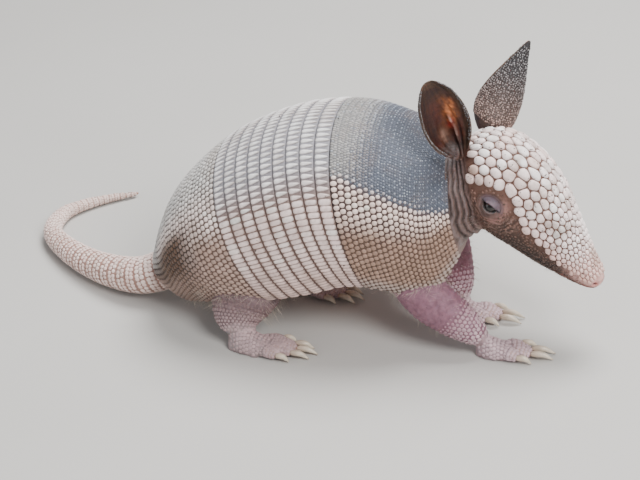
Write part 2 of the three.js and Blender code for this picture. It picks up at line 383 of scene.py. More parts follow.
def place_piece(obj: Obj, slot: str, *nodes: str) -> None:
    """Ties a finished piece to the frame.

    Args:
        obj: the piece.
        slot: the name of the record's slot for its finish; not used.
        nodes: the nodes for which it stands.
    """
    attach(obj, "root")
    if nodes:
        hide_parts(*nodes)
    count = len(obj.data.vertices)
    log.info("%s: %d vertices, replaces %s", obj.name, count, ", ".join(nodes) or "nothing")


# ---- nodes
def wire(tree: Tree, kind: str, inputs: dict, **settings: "str | int") -> bpy.types.Node:
    """Adds a node to a tree.

    Args:
        tree: the tree.
        kind: the node's type.
        inputs: a socket, a number or a colour for each input.
        settings: the node's own settings.

    Returns:
        The node.
    """
    node = tree.nodes.new(kind)
    for key, value in settings.items():
        setattr(node, key, value)
    for key, value in inputs.items():
        if isinstance(value, Socket):
            tree.links.new(value, node.inputs[key])
        else:
            node.inputs[key].default_value = (*value, 1) if isinstance(value, tuple) else value
    return node


def noise(tree: Tree, place: Socket, scale: float, detail: int) -> Socket:
    """A noise pattern in the piece's own place."""
    inputs = {"Scale": scale, "Detail": detail, "Vector": place}
    return wire(tree, "ShaderNodeTexNoise", inputs).outputs["Fac"]


def mapped(tree: Tree, value: Socket, low: float, high: float, span: tuple = (0.0, 1.0)) -> Socket:
    """Maps a value that goes over a span onto low to high."""
    inputs = {"From Min": span[0], "From Max": span[1], "To Min": low, "To Max": high, "Value": value}
    return wire(tree, "ShaderNodeMapRange", inputs).outputs[0]


def mixed(tree: Tree, first: "Socket | tuple", second: "Socket | tuple", share: Socket) -> Socket:
    """Mixes two colours by a share."""
    inputs = {"Factor": share, "A": first, "B": second}
    return wire(tree, "ShaderNodeMix", inputs, data_type="RGBA").outputs["Result"]


def attribute(tree: Tree, name: str, output: str) -> Socket:
    """Reads a stored attribute."""
    return wire(tree, "ShaderNodeAttribute", {}, attribute_name=name).outputs[output]


# ---- finishes
@dataclass(frozen=True)
class Finish:
    """A surface finish, painted by the piece's own tint and worn by procedural patterns."""

    name: str
    # The groove colour is mixed in by the dome value, most at each scute's foot: the dark joints between
    # scutes, with painted shade spread up the lower sides of the dome.
    groove: tuple = (0.08, 0.06, 0.05)
    joint_and_shade_depth: float = 0.0
    joint_and_shade_reach: float = 0.55
    mottle: float = 0.25
    mottle_scale: float = 600.0
    stain: tuple = (0.2, 0.12, 0.07)
    stain_share: float = 0.0
    stain_scale: float = 110.0
    speck: tuple = (0.02, 0.016, 0.013)
    speck_share: float = 0.0
    speck_scale: float = 700.0
    roughness: tuple = (0.42, 0.62)
    grain_scale: float = 1800.0
    grain_height: float = 0.00012
    coat: float = 0.0
    soft: float = 0.0
    plain: "tuple | None" = None

    @cache
    def material(self) -> bpy.types.Material:
        """Builds the node material, once for all pieces.

        Returns:
            The material.
        """
        mat = bpy.data.materials.new(self.name)
        mat.use_nodes = True
        tree = mat.node_tree
        tree.nodes.clear()
        place = wire(tree, "ShaderNodeTexCoord", {}).outputs["Object"]
        grain = noise(tree, place, self.grain_scale, 4)
        bump = {"Distance": self.grain_height, "Strength": 0.8, "Height": grain}
        shader = wire(tree, "ShaderNodeBsdfPrincipled", {
            "Base Color": self.colour(tree, place),
            "Roughness": mapped(tree, grain, *self.roughness),
            "Normal": wire(tree, "ShaderNodeBump", bump).outputs[0],
            "Coat Weight": self.coat,
            "Coat Roughness": 0.25,
            "Subsurface Weight": self.soft,
            "Subsurface Scale": 0.002,
        })
        wire(tree, "ShaderNodeOutputMaterial", {"Surface": shader.outputs[0]})
        return mat

    def colour(self, tree: Tree, place: Socket) -> Socket:
        """The base colour: tint, darker at the grooves (dark joints, with painted shade up the domes),
        mottled, stained and specked.

        Args:
            tree: the material's tree.
            place: where a point lies on the piece.

        Returns:
            The colour.
        """
        colour = self.plain or attribute(tree, "tint", "Color")
        # Painted shade over the dark joints: the groove colour darkens each dome from its foot upward.
        if self.joint_and_shade_depth:
            dome = attribute(tree, "dome", "Fac")
            share = mapped(tree, dome, self.joint_and_shade_depth, 0.0, (0.0, self.joint_and_shade_reach))
            colour = mixed(tree, colour, self.groove, share)
        dark = {"Value": 0.45, "Saturation": 1.15, "Color": colour}
        dark = wire(tree, "ShaderNodeHueSaturation", dark).outputs[0]
        edge = 0.78 - 0.25 * self.speck_share
        for paint_on, scale, detail, most, span in (
            (dark, self.mottle_scale, 3, self.mottle, (0.42, 0.75)),
            (self.stain, self.stain_scale, 5, self.stain_share, (0.47, 0.66)),
            (self.speck, self.speck_scale, 1, 0.9 if self.speck_share else 0.0, (edge, edge + 0.04)),
        ):
            if most:
                share = mapped(tree, noise(tree, place, scale, detail), 0.0, most, span)
                colour = mixed(tree, colour, paint_on, share)
        return colour


SHIELD_SCUTE = Finish(
    "shield_scute_horn", groove=(0.075, 0.055, 0.045), joint_and_shade_depth=0.75, mottle=0.3,
    mottle_scale=900, roughness=(0.34, 0.55), speck_share=0.12, speck_scale=420,
    stain_share=0.25, stain_scale=90,
)
BAND_SCUTE = Finish(
    "band_scute_horn", groove=(0.22, 0.17, 0.155), joint_and_shade_depth=0.8, joint_and_shade_reach=0.85,
    mottle=0.4, mottle_scale=520, roughness=(0.26, 0.44), speck_share=0.06, speck_scale=420,
    stain_share=0.3, stain_scale=80,
)
PLATE = Finish(
    "plate_between_scutes", mottle=0.45, mottle_scale=800, roughness=(0.5, 0.75),
    grain_scale=2500, grain_height=0.0002,
)
HEAD_SCUTE = Finish(
    "head_scute_horn", groove=(0.17, 0.085, 0.07), joint_and_shade_depth=0.85, joint_and_shade_reach=0.68,
    mottle=0.22, mottle_scale=360, roughness=(0.36, 0.58), speck_share=0.42, speck_scale=820,
    grain_scale=2600, stain_share=0.5, stain_scale=120,
)
TAIL_SCUTE = Finish(
    "tail_scute_horn", groove=(0.19, 0.11, 0.092), joint_and_shade_depth=0.8, mottle=0.28,
    mottle_scale=800, speck_share=0.14, speck_scale=480, roughness=(0.4, 0.6), stain_share=0.2,
)
LEG_SCALE = Finish(
    "leg_scale_horn", groove=(0.26, 0.16, 0.15), joint_and_shade_depth=0.55, mottle=0.25,
    mottle_scale=700, roughness=(0.38, 0.58),
)
SKIN = Finish(
    "bare_skin", mottle=0.8, mottle_scale=430, speck_share=0.1, speck_scale=600,
    roughness=(0.5, 0.74), grain_scale=1500, grain_height=0.0003, soft=0.12,
)
PEBBLE = Finish(
    "ear_pebble", groove=(0.03, 0.02, 0.018), joint_and_shade_depth=0.6, mottle=0.2, mottle_scale=900,
    roughness=(0.35, 0.55),
)
CLAW = Finish(
    "claw_horn", mottle=0.5, mottle_scale=300, roughness=(0.25, 0.42), grain_scale=1200,
    grain_height=0.00008, coat=0.2,
)
EYE = Finish("wet_eye", mottle=0.3, mottle_scale=900, roughness=(0.06, 0.12), grain_height=0.0, coat=0.25)
HAIR = Finish(
    "pale_hair", mottle=0.2, mottle_scale=900, roughness=(0.35, 0.5), grain_height=0.0,
    plain=(0.62, 0.53, 0.44),
)


# ---- limbs
@dataclass(frozen=True)
class Limb:
    """A closed form lofted along a spine, in millimetres of the animal's own frame.

    Its radii are given to the sides, over the spine and under it.
    """

    spine: tuple
    side: tuple
    over: tuple
    under: tuple
    up: tuple = (0.0, 0.0, 1.0)
    blunt: float = 0.5

    def read(self, rows: tuple, t: Array) -> Array:
        """Reads a list of values at shares t of the spine."""
        return spline(rows, np.asarray(t, float) * (len(rows) - 1))

    def frames(self, t: Array) -> tuple:
        """The frame of the spine.

        Args:
            t: shares of the spine.

        Returns:
            The centre, direction, own up and right-hand side at each share.
        """
        t = np.asarray(t, float)
        ahead = unit(self.read(self.spine, t + 0.01) - self.read(self.spine, t - 0.01))
        up = np.broadcast_to(np.array(self.up, float), ahead.shape)
        up = unit(up - (up * ahead).sum(-1, keepdims=True) * ahead)
        return self.read(self.spine, t), ahead, up, np.cross(ahead, up)

    def fullness(self, t: Array) -> Array:
        """How full a section is at shares t: less toward both ends, where the loft closes."""
        t = np.clip(t, 0.0, 1.0)
        return (4 * t * (1 - t)) ** (self.blunt / 2)

    def length(self) -> float:
        """The length of the spine."""
        return float(paces(self.read(self.spine, np.linspace(0, 1, 200))).sum())

    def surface(self, t: Array, turn: Array, scale: "Array | float" = 1.0, grow: float = 0.0) -> Array:
        """Points on the skin.

        Args:
            t: shares of the spine.
            turn: turns about it, from the right side up and round.
            scale: size of the section as a share of its full size.
            grow: how far the skin is moved outward.

        Returns:
            The points.
        """
        centre, _, up, right = self.frames(t)
        wide = (self.read(self.side, t) + grow) * scale
        high = np.where(np.sin(turn) < 0, self.read(self.under, t), self.read(self.over, t))
        high = (high + grow) * scale
        return centre + right * (wide * np.cos(turn))[..., None] + up * (high * np.sin(turn))[..., None]

    def loft(self, around: int, rings: int, grow: float = 0.0, floor: float = 0.0) -> tuple:
        """A closed mesh of the whole limb.

        Args:
            around: points round each section.
            rings: steps along the spine.
            grow: how far the skin is moved outward.
            floor: the lowest height that a point may have.

        Returns:
            Points and faces.
        """
        step = np.arange(1, rings) / rings
        shares = np.concatenate([[0], (1 - np.cos(np.pi * step)) / 2, [1]])
        margin = grow / self.length()
        shares = shares * (1 + 2 * margin) - margin
        scale = np.sin(np.pi * step) ** self.blunt
        t = np.repeat(shares[1:-1], around)
        turn = np.tile(2 * np.pi * np.arange(around) / around, rings - 1)
        body = self.surface(t, turn, np.repeat(scale, around), grow)
        ends = self.read(self.spine, shares[[0, -1]])
        points = np.concatenate([ends[:1], body, ends[1:]])
        points[:, 2] = np.maximum(points[:, 2], floor)
        return points, tube_faces(rings, around)

    def locate(self, points: Array, samples: int = 80) -> tuple:
        """Finds where points lie about the limb.

        Args:
            points: the places, in own-frame millimetres.
            samples: how many places along the spine are tried.

        Returns:
            The share along the spine, the turn about it, and the distance from it
            as a share of the limb's own radius there.
        """
        t = np.linspace(0, 1, samples)
        centre, _, up, right = self.frames(t)
        best = np.empty(len(points), int)
        batch = 20000
        for start in range(0, len(points), batch):
            chunk = points[start : start + batch]
            best[start : start + batch] = ((chunk[:, None] - centre[None]) ** 2).sum(-1).argmin(1)
        offset = points - centre[best]
        above = (offset * up[best]).sum(-1)
        turn = np.arctan2(above, (offset * right[best]).sum(-1))
        high = np.where(above < 0, self.read(self.under, t[best]), self.read(self.over, t[best]))
        wide = self.read(self.side, t[best])
        ratio = size_of(offset) / np.hypot(wide * np.cos(turn), high * np.sin(turn))
        return t[best], turn, ratio


HEAD = Limb(
    spine=((70, -1.5, 86), (94, -7, 73.5), (117, -14, 52.5), (136.5, -20.5, 34.5)),
    side=(15, 20.5, 21.5, 20, 16.5, 12.8, 9.8, 7.4),
    over=(22, 26, 25.2, 22.2, 17.6, 13.1, 9.3, 6.6),
    under=(16, 21, 22.5, 21, 17.5, 14.6, 11.9, 9),
)
NECK = Limb(
    spine=((54, 0, 62), (69, -1, 69), (84, -4, 77)),
    side=(28, 26.5, 21),
    over=(23, 20, 18),
    under=(22, 23, 21),
    blunt=0.3,
)
TAIL_RADII = (12, 9.9, 8.2, 6.6, 5.3, 4.2, 3.2, 2)
TAIL = Limb(
    spine=((-70, -2, 18), (-88, -5, 12.5), (-113, 5, 8.5), (-138, 22, 6.6), (-156, 42, 5.3),
           (-158, 64, 4.2), (-145, 81, 3.2), (-126, 94, 2.1)),
    side=TAIL_RADII, over=TAIL_RADII, under=TAIL_RADII, blunt=0.12,
)
EYE_RADIUS = 3.7
EYE_ALONG = 0.33
EYE_TURN = math.radians(2)
EYE_SUNK = 2.6
NOSTRIL_ALONG = 0.975
NOSTRIL_TURN = 0.25
NOSTRIL_RADIUS = 1.05


class Hand(Enum):
    """A side of the animal."""

    RIGHT = "right"
    LEFT = "left"

    def mirrored(self, turn: float) -> float:
        """This side's turn about the head for a turn given for the right side."""
        return turn if self is Hand.RIGHT else math.pi - turn

    @property
    def side(self) -> float:
        """The sign of the side's Y."""
        return -1.0 if self is Hand.RIGHT else 1.0


def eye_axes(hand: Hand) -> tuple:
    """Finds an eyeball.

    Args:
        hand: its side.

    Returns:
        Its forward, upward and outward directions, and its centre in the animal's own frame.
    """
    along = np.array(EYE_ALONG)
    middle, ahead, _, _ = HEAD.frames(along)
    skin = HEAD.surface(along, np.array(hand.mirrored(EYE_TURN)))
    centre = skin + unit(middle - skin) * EYE_SUNK
    outward = unit(skin - centre)
    ahead = unit(ahead - outward * (ahead @ outward))
    up = np.cross(outward, ahead)
    return ahead, up if up[2] > 0 else -up, outward, centre


def eye_centre(hand: Hand) -> Array:
    """The centre of an eyeball in the animal's own frame."""
    return eye_axes(hand)[3]


def eye_place(points: Array, hand: Hand) -> tuple:
    """Where points lie about an eye: forward, up and outward of its centre."""
    *axes, centre = eye_axes(hand)
    return tuple((points - centre) @ axis for axis in axes)


def frame_middle() -> Array:
    """The own-frame point that is the frame's origin, found from the right eye's node."""
    low, high = (np.array(corner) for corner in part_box("eye_right"))
    return eye_centre(Hand.RIGHT) - (low + high) / 2 / MM


MIDDLE = frame_middle()


def to_frame(points: Array) -> Array:
    """Own-frame millimetres to the frame's metres."""
    return (np.asarray(points, float) - MIDDLE) * MM


def to_own(points: Array) -> Array:
    """The frame's metres to own-frame millimetres."""
    return np.asarray(points, float) / MM + MIDDLE


def dressed(name: str, form: tuple, tint: Array, finish: Finish, slot: str, *nodes: str) -> Obj:
    """Makes a closed piece and dresses it.

    Args:
        name: name of the piece.
        form: its points in the animal's own frame, and its faces.
        tint: a colour for each point.
        finish: its finish.
        slot: the name of the record's slot for the finish; not used.
        nodes: the nodes for which it stands.

    Returns:
        The piece.
    """
    points, faces = form
    obj = new_object(name, to_frame(points), faces)
    paint(obj.data, "tint", tint)
    obj.data.materials.append(finish.material())
    face_out(obj)
    place_piece(obj, slot, *nodes)
    return obj


# ---- what repeats
HIDDEN_SPOT = np.array([0.96, -0.96])


@dataclass
class Bead:
    """One small closed shape that is repeated: a dome, a wedge or a hair.

    The dome value goes from 0 in the groove to 1 on top and sets how much joint colour and painted shade a
    place gets; flat is the shape's unwrap.
    """

    name: str
    points: Array
    faces: list
    dome: Array
    flat: Array

    def corner_flat(self) -> Array:
        """The shape's own unwrap, with its underside gathered in a corner.

        Returns:
            Places from -1 to 1, one row for each face corner.
        """
        under = self.points[:, 2] <= self.points[:, 2].min() + 1e-6
        rows = []
        for face in self.faces:
            rows += [HIDDEN_SPOT if under[face].all() else self.flat[i] for i in face]
        return np.array(rows)


class Outline(Enum):
    """How a scute is drawn from above, with the power of its rounded square."""

    ROUND = 2.3
    WEDGE = 3.2
    BLOCK = 4.0


def scute_bead(name: str, outline: Outline, sides: int) -> Bead:
    """A low dome of unit half length and half width, with its foot sunk below zero.

    Args:
        name: name of the shape.
        outline: how it is drawn from above; a wedge is widest at its rear, local -X.
        sides: corners round the foot.

    Returns:
        The shape.
    """
    angle = 2 * np.pi * np.arange(sides) / sides
    power = outline.value
    reach = (np.abs(np.cos(angle)) ** power + np.abs(np.sin(angle)) ** power) ** (-1 / power)
    rim = np.stack([reach * np.cos(angle), reach * np.sin(angle)], 1)
    if outline is Outline.WEDGE:
        rim[:, 1] *= 1.0 - 0.33 * (rim[:, 0] + 1)
    # The third number of each level is its dome value: low at the foot for dark joints and painted shade,
    # high on top.
    levels = ((0.5, 0.92, 1.0), (0.84, 0.55, 0.6), (1.0, 0.0, 0.1), (0.98, -0.9, 0.0))
    under_size = 0.93
    points, dome, flat = [[0.0, 0.0, 1.0]], [1.0], [[0.0, 0.0]]
    for size, height, light in levels:
        points += np.column_stack([rim * size, np.full(sides, height)]).tolist()
        dome += [light] * sides
        flat += (rim * (size * 0.8 if height >= 0 else under_size)).tolist()
    faces = fan_faces(0, 1, sides, False) + ring_faces(1, len(levels), sides)
    faces.append(list(range(len(points) - sides, len(points)))[::-1])
    return Bead(name, np.array(points), faces, np.array(dome), np.array(flat))


def hair_bead(name: str, steps: int = 4, sides: int = 3) -> Bead:
    """A bent, tapered hair of unit length that stands along local Z and leans to local X.

    Args:
        name: name of the shape.
        steps: sections from root to tip.
        sides: corners of a section.

    Returns:
        The shape.
    """
    bend = 14
    points, flat = [], []
    for rise in np.arange(steps + 1) / steps:
        radius = 0.5 * (1 - 0.8 * rise)
        for side in range(sides):
            angle = 2 * math.pi * side / sides
            points.append([radius * math.cos(angle) + bend * rise**2, radius * math.sin(angle), rise])
            flat.append([2 * side / sides - 0.8, 1.6 * rise - 0.8])
    faces = [list(range(sides))[::-1], *ring_faces(0, steps + 1, sides, False)]
    faces.append([steps * sides + side for side in range(sides)])
    return Bead(name, np.array(points), faces, np.ones(len(points)), np.array(flat))


@dataclass
class Seats:
    """Where copies of a bead stand: one row each, in the frame's metres."""

    place: Array
    turn: Array
    size: Array
    tint: Array
    patch: Array

    @classmethod
    def join(cls, parts: "list[Seats]") -> "Seats":
        """Puts several sets of seats together."""
        return cls(*(np.concatenate(rows) for rows in zip(*(vars(part).values() for part in parts))))

    def kept(self, mask: Array) -> "Seats":
        """The seats that a mask keeps."""
        return Seats(*(rows[mask] for rows in vars(self).values()))


class BeadTree:
    """A Geometry Nodes tree that stands a bead on every seat and realizes the copies."""

    seed: int = 7
    patch_reach: float = 0.0015

    def __init__(self, name: str) -> None:
        """Builds the tree with its named inputs.

        Args:
            name: name of the tree.
        """
        self.tree = bpy.data.node_groups.new(name, "GeometryNodeTree")
        face = self.tree.interface
        self.sockets = {
            label: face.new_socket(label, in_out="INPUT", socket_type="NodeSocket" + kind)
            for label, kind in (
                ("Seats", "Geometry"), ("Bead", "Object"), ("Size jitter", "Float"), ("Seed", "Int"),
                ("Finish", "Material"),
            )
        }
        face.new_socket("Beads", in_out="OUTPUT", socket_type="NodeSocketGeometry")
        self.link()

    def link(self) -> None:
        """Adds and links the nodes."""
        tree = self.tree
        given = wire(tree, "NodeGroupInput", {}).outputs
        shape = wire(tree, "GeometryNodeObjectInfo", {"Object": given["Bead"]}).outputs["Geometry"]
        turn = wire(tree, "FunctionNodeEulerToRotation", {0: self.named("turn")}).outputs[0]
        ends = {0: 1.0, 1: given["Size jitter"]}
        low = wire(tree, "ShaderNodeMath", ends, operation="SUBTRACT").outputs[0]
        high = wire(tree, "ShaderNodeMath", ends, operation="ADD").outputs[0]
        spread = wire(tree, "FunctionNodeRandomValue", {2: low, 3: high, "Seed": given["Seed"]}).outputs[1]
        scale = {0: self.named("size"), "Scale": spread}
        size = wire(tree, "ShaderNodeVectorMath", scale, operation="SCALE").outputs[0]
        stand = {"Points": given["Seats"], "Instance": shape, "Rotation": turn, "Scale": size}
        stood = wire(tree, "GeometryNodeInstanceOnPoints", stand).outputs[0]
        real = wire(tree, "GeometryNodeRealizeInstances", {0: stood}).outputs[0]
        dress = {"Geometry": real, "Material": given["Finish"]}
        wire(tree, "NodeGroupOutput", {0: wire(tree, "GeometryNodeSetMaterial", dress).outputs[0]})

    def named(self, name: str) -> Socket:
        """Reads a stored vector in the tree."""
        node = wire(self.tree, "GeometryNodeInputNamedAttribute", {"Name": name}, data_type="FLOAT_VECTOR")
        return next(out for out in node.outputs if out.enabled and out.name == "Attribute")

    def run(
        self, name: str, seats: Seats, bead: Bead, finish: Finish, slot: str, jitter: float = 0.05
    ) -> Obj:
        """Stands the bead on the seats and dresses the copies.

        Args:
            name: name of the piece.
            seats: where the copies stand.
            bead: the shape that is copied.
            finish: its finish.
            slot: the name of the record's slot for the finish; not used.
            jitter: how much the copies vary in size, as a share.

        Returns:
            The plain object of all copies.
        """
        holder = new_object(name + "_seats", seats.place, [])
        for key in ("turn", "size", "tint"):
            paint(holder.data, key, getattr(seats, key))
        shape = new_object(bead.name, bead.points, bead.faces)
        paint(shape.data, "dome", bead.dome)
        modifier = holder.modifiers.new(name, "NODES")
        modifier.node_group = self.tree
        given = {"Bead": shape, "Size jitter": jitter, "Seed": self.seed, "Finish": finish.material()}
        for label, value in given.items():
            modifier[self.sockets[label].identifier] = value
        piece = freeze(holder, name)
        discard(shape)
        flat = bead.corner_flat()
        copies = len(piece.data.loops) // len(flat)
        spread = np.tile(flat, (copies, 1)) * self.patch_reach
        set_bake_map(piece.data, np.repeat(seats.patch, len(flat), axis=0) + spread)
        piece.data.shade_smooth()
        log.info("%s: %d copies, %d faces", name, copies, len(piece.data.polygons))
        place_piece(piece, slot)
        return piece


ROUND_BEAD = scute_bead("round_scute", Outline.ROUND, 10)
WEDGE_BEAD = scute_bead("wedge_scute", Outline.WEDGE, 16)
BLOCK_BEAD = scute_bead("block_scute", Outline.BLOCK, 16)
PEBBLE_BEAD = scute_bead("pebble", Outline.ROUND, 7)
HAIR_BEAD = hair_bead("hair")
TREE = BeadTree("stand_beads")


# ---- the shell
SLATE = srgb(112, 118, 128)
SILVER = srgb(176, 174, 172)


@dataclass(frozen=True)
class Carapace:
    """The outer face of the shell: a fan of sections from tail to neck.

    Each station has the crest's X and Z, the hem's X and Z, and the half width.
    """

    stations: tuple = (
        (-80, 26, -74, 12, 14),
        (-74, 43, -62, 10.5, 25),
        (-66, 59, -50, 14, 34),
        (-53, 74, -34, 18.5, 41),
        (-37.5, 87, -12, 23.5, 45),
        (-18.5, 97, 7, 29, 47),
        (2, 103.5, 24, 34.5, 47),
        (25, 105.5, 38, 34, 46),
        (44, 101.5, 53, 31, 43.5),
        (58.5, 95, 66, 34, 38.5),
        (69, 87, 75.5, 47, 30),
    )
    side_turn: float = math.radians(128)
    waist: float = 0.42

    @property
    def last(self) -> int:
        """The front station."""
        return len(self.stations) - 1

    def face(self, s: Array, v: Array) -> Array:
        """Points of the outer face.

        Args:
            s: stations from tail to neck.
            v: shares from the right hem, -1, over the crest to the left one.

        Returns:
            The points.
        """
        s, v = np.broadcast_arrays(np.asarray(s, float), np.asarray(v, float))
        row = spline(self.stations, s)
        zero = np.zeros_like(s)
        crest = np.stack([row[..., 0], zero, row[..., 1]], -1)
        hem = np.stack([row[..., 2], zero, row[..., 3]], -1)
        height = size_of(crest - hem)
        rise = (crest - hem) / height[..., None]
        waist = self.waist * height
        turn = np.abs(v) * self.side_turn
        reach = np.where(turn <= math.pi / 2, height - waist, waist / -math.cos(self.side_turn))
        point = hem + rise * (waist + reach * np.cos(turn))[..., None]
        point[..., 1] = np.sign(v) * row[..., 4] * np.sin(turn)
        return point

    def slopes(self, s: Array, v: Array) -> tuple:
        """How the outer face runs.

        Args:
            s: stations.
            v: shares from hem to hem.

        Returns:
            The change of place for a station forward and for a share leftward.
        """
        step = 0.02
        inside = np.clip(v, step - 1, 1 - step)
        forward = (self.face(s + step, inside) - self.face(s - step, inside)) / (2 * step)
        leftward = (self.face(s, inside + step) - self.face(s, inside - step)) / (2 * step)
        return forward, leftward

    def under(self, s: Array, v: Array, depth: "Array | float") -> Array:
        """Points under the outer face, square to it.

        Args:
            s: stations.
            v: shares from hem to hem.
            depth: how far under it, in millimetres.

        Returns:
            The points.
        """
        s, v = np.broadcast_arrays(np.asarray(s, float), np.asarray(v, float))
        normal = unit(np.cross(*self.slopes(s, v)))
        return self.face(s, v) - normal * np.broadcast_to(depth, s.shape)[..., None]


SHELL = Carapace()


class Zone(Enum):
    """A part of the shell, with the slot of its plates."""

    PELVIS = "pelvic_plates"
    BANDS = "band_plates"
    SHOULDER = "shoulder_plates"


@dataclass(frozen=True)
class ShellPlate:
    """One plate of the shell, from its rear station to its front station."""

    node: str
    rear: float
    front: float
    zone: Zone

    @property
    def length(self) -> float:
        """How many stations it covers."""
        return self.front - self.rear


@dataclass
class Shell:
    """The two shields and nine bands, each a base plate under rows of scutes.

    Ends and seam are in stations of the shell, and all other lengths in millimetres.
    """

    pelvis_end: float = 3.85
    bands_end: float = 6.65
    band_count: int = 9
    seam: float = 0.011
    lift: float = 0.5
    base_depth: float = 0.62
    inner_depth: float = 2.0
    base_columns: int = 240
    pelvic_pitch: float = 2.75
    shoulder_pitch: float = 2.7
    pebble_pitch: float = 1.3
    row_squash: float = 0.87
    band_scutes: int = 78
    scute_height: float = 0.5
    rng: np.random.Generator = field(default_factory=lambda: np.random.default_rng(11))

    @property
    def plates(self) -> "list[ShellPlate]":
        """All plates, from the rear shield to the front one.

        Returns:
            The plates.
        """
        width = (self.bands_end - self.pelvis_end) / self.band_count
        rears = [self.bands_end - n * width for n in range(self.band_count + 1)]
        bands = [
            ShellPlate(f"band_{n}", rears[n], rears[n - 1], Zone.BANDS)
            for n in range(1, self.band_count + 1)
        ]
        rear = ShellPlate("pelvic_shield", 0.0, self.pelvis_end, Zone.PELVIS)
        return [rear, *bands, ShellPlate("shoulder_shield", self.bands_end, SHELL.last, Zone.SHOULDER)]

    def raised(self, plate: ShellPlate, s: Array) -> Array:
        """How far a plate stands over the outer face at stations s: most at its rear edge."""
        return self.lift * (1 - np.clip((s - plate.rear) / plate.length, 0, 1))

    @staticmethod
    def slate_share(s: Array, a: Array) -> Array:
        """How much of the dark blue-grey front patch shows at station s and share a from the crest."""
        low = 0.46 + 0.04 * (s - 8)
        return smooth(low + 0.05, low - 0.05, a) * smooth(7.0, 7.7, s + 0.8 * a)

    @staticmethod
    def silver_share(s: Array, a: Array) -> Array:
        """How much of the pale grey top of the shoulder shield shows."""
        return smooth(0.44, 0.34, a) * smooth(7.9, 7.2, s + 0.8 * a)

    @staticmethod
    def bark_share(s: Array, a: Array) -> Array:
        """How much of the dark patch on the rump's lower flank shows."""
        down = smooth(0.42, 0.54, a + 0.02 * s) * (1 - 0.6 * smooth(0.66, 0.8, a))
        return down * smooth(3.5, 2.1, s + 0.5 * (a - 0.7))

    def grey_share(self, s: Array, a: Array) -> Array:
        """How much of either grey patch of the shoulder shield shows."""
        return np.maximum(self.slate_share(s, a), self.silver_share(s, a))

    def scute_tint(self, plate: ShellPlate, s: Array, v: Array) -> Array:
        """Colours of the scutes.

        Args:
            plate: the plate under them.
            s: their stations.
            v: their shares from hem to hem.

        Returns:
            A colour for each scute.
        """
        a = np.abs(v)
        if plate.zone is Zone.BANDS:
            tint = washed(
                srgb(240, 237, 237),
                ((240, 217, 212), smooth(0.3, 0.6, a)),
                ((224, 196, 188), smooth(0.7, 0.95, a)),
            )
        elif plate.zone is Zone.PELVIS:
            tint = washed(
                SILVER * 1.35,
                ((240, 222, 216), smooth(0.22, 0.45, a)),
                ((176, 150, 140), smooth(0.6, 0.74, a)),
                ((160, 136, 126), smooth(0.84, 0.95, a)),
                ((182, 154, 142), smooth(0.48, 0.62, a) * smooth(2.4, 3.2, s)),
                ((92, 66, 50), self.bark_share(s, a)),
            )
            tint = blend(tint, SILVER * 0.9, 0.8 * smooth(1.6, 0.4, s) * smooth(0.75, 0.4, a))
        else:
            tint = washed(
                srgb(240, 218, 208),
                ((160, 130, 114), smooth(0.54, 0.7, a)),
                ((172, 154, 146), smooth(0.88, 0.96, a)),
                ((176, 174, 172), self.silver_share(s, a)),
                ((152, 160, 174), self.slate_share(s, a)),
            )
        spread = 1 + self.rng.normal(0, 0.07, (len(tint), 1))
        return np.clip(tint * spread, 0.01, 0.9)

    def base_tint(self, plate: ShellPlate, s: Array, v: Array) -> Array:
        """Colours of the plate between the scutes.

        Args:
            plate: the plate.
            s: stations.
            v: shares from hem to hem.

        Returns:
            A colour for each place.
        """
        a = np.abs(v)
        if plate.zone is Zone.BANDS:
            return washed(srgb(142, 140, 146), ((132, 108, 100), smooth(0.3, 0.55, a)))
        if plate.zone is Zone.PELVIS:
            brown, bark = smooth(0.3, 0.6, a), self.bark_share(s, a)
            return washed(srgb(110, 102, 98), ((104, 82, 72), brown), ((50, 35, 27), bark))
        brown, silver = smooth(0.58, 0.76, a), self.silver_share(s, a)
        tint = washed(srgb(72, 54, 52), ((98, 76, 64), brown), ((120, 120, 122), silver))
        return blend(tint, SLATE * np.array([0.4, 0.42, 0.5]), self.slate_share(s, a))

    def base(self, plate: ShellPlate) -> Obj:
        """The plate under the scutes, closed all round.

        Args:
            plate: the plate to build.

        Returns:
            The dressed piece.
        """
        rows, columns = 8 if plate.zone is Zone.BANDS else 60, self.base_columns
        line = np.linspace(plate.rear + self.seam, plate.front - self.seam, rows)
        grid = np.meshgrid(line, np.linspace(-1, 1, columns), indexing="ij")
        s, v = (table.ravel() for table in grid)
        outer = SHELL.under(s, v, self.base_depth - self.raised(plate, s))
        inner = SHELL.under(s, v, self.inner_depth)
        count = rows * columns
        faces = grid_faces(rows, columns) + grid_faces(rows, columns, count, flip=True)
        number = np.arange(count).reshape(rows, columns)
        sides = (number[:-1, 0], number[-1, :-1], number[:0:-1, -1], number[0, :0:-1])
        edge = np.concatenate(sides)
        there = np.roll(edge, -1)
        faces += np.stack([edge, edge + count, there + count, there], 1).tolist()
        tint = np.tile(self.base_tint(plate, s, v), (2, 1))
        form = np.concatenate([outer, inner]), faces
        return dressed(plate.node + "_base", form, tint, PLATE, plate.zone.value, plate.node)

    def seats(
        self, plate: ShellPlate, s: Array, v: Array, half_length: Array, half_width: Array,
        height: "float | Array", tint: Array,
    ) -> Seats:
        """Seats of scutes on a plate.

        Args:
            plate: the plate.
            s: stations of the scutes.
            v: their shares from hem to hem.
            half_length: half their lengths, in millimetres.
            half_width: half their widths.
            height: their heights.
            tint: their colours.

        Returns:
            The seats.
        """
        forward, leftward = SHELL.slopes(s, v)
        place = SHELL.under(s, v, self.base_depth - self.raised(plate, s))
        size = np.stack(np.broadcast_arrays(half_length, half_width, height), 1)
        patch = np.stack([0.02 + 0.96 * (s - plate.rear) / plate.length, 0.5 + 0.48 * v], 1)
        return Seats(to_frame(place), euler(forward, np.cross(forward, leftward)), size * MM, tint, patch)

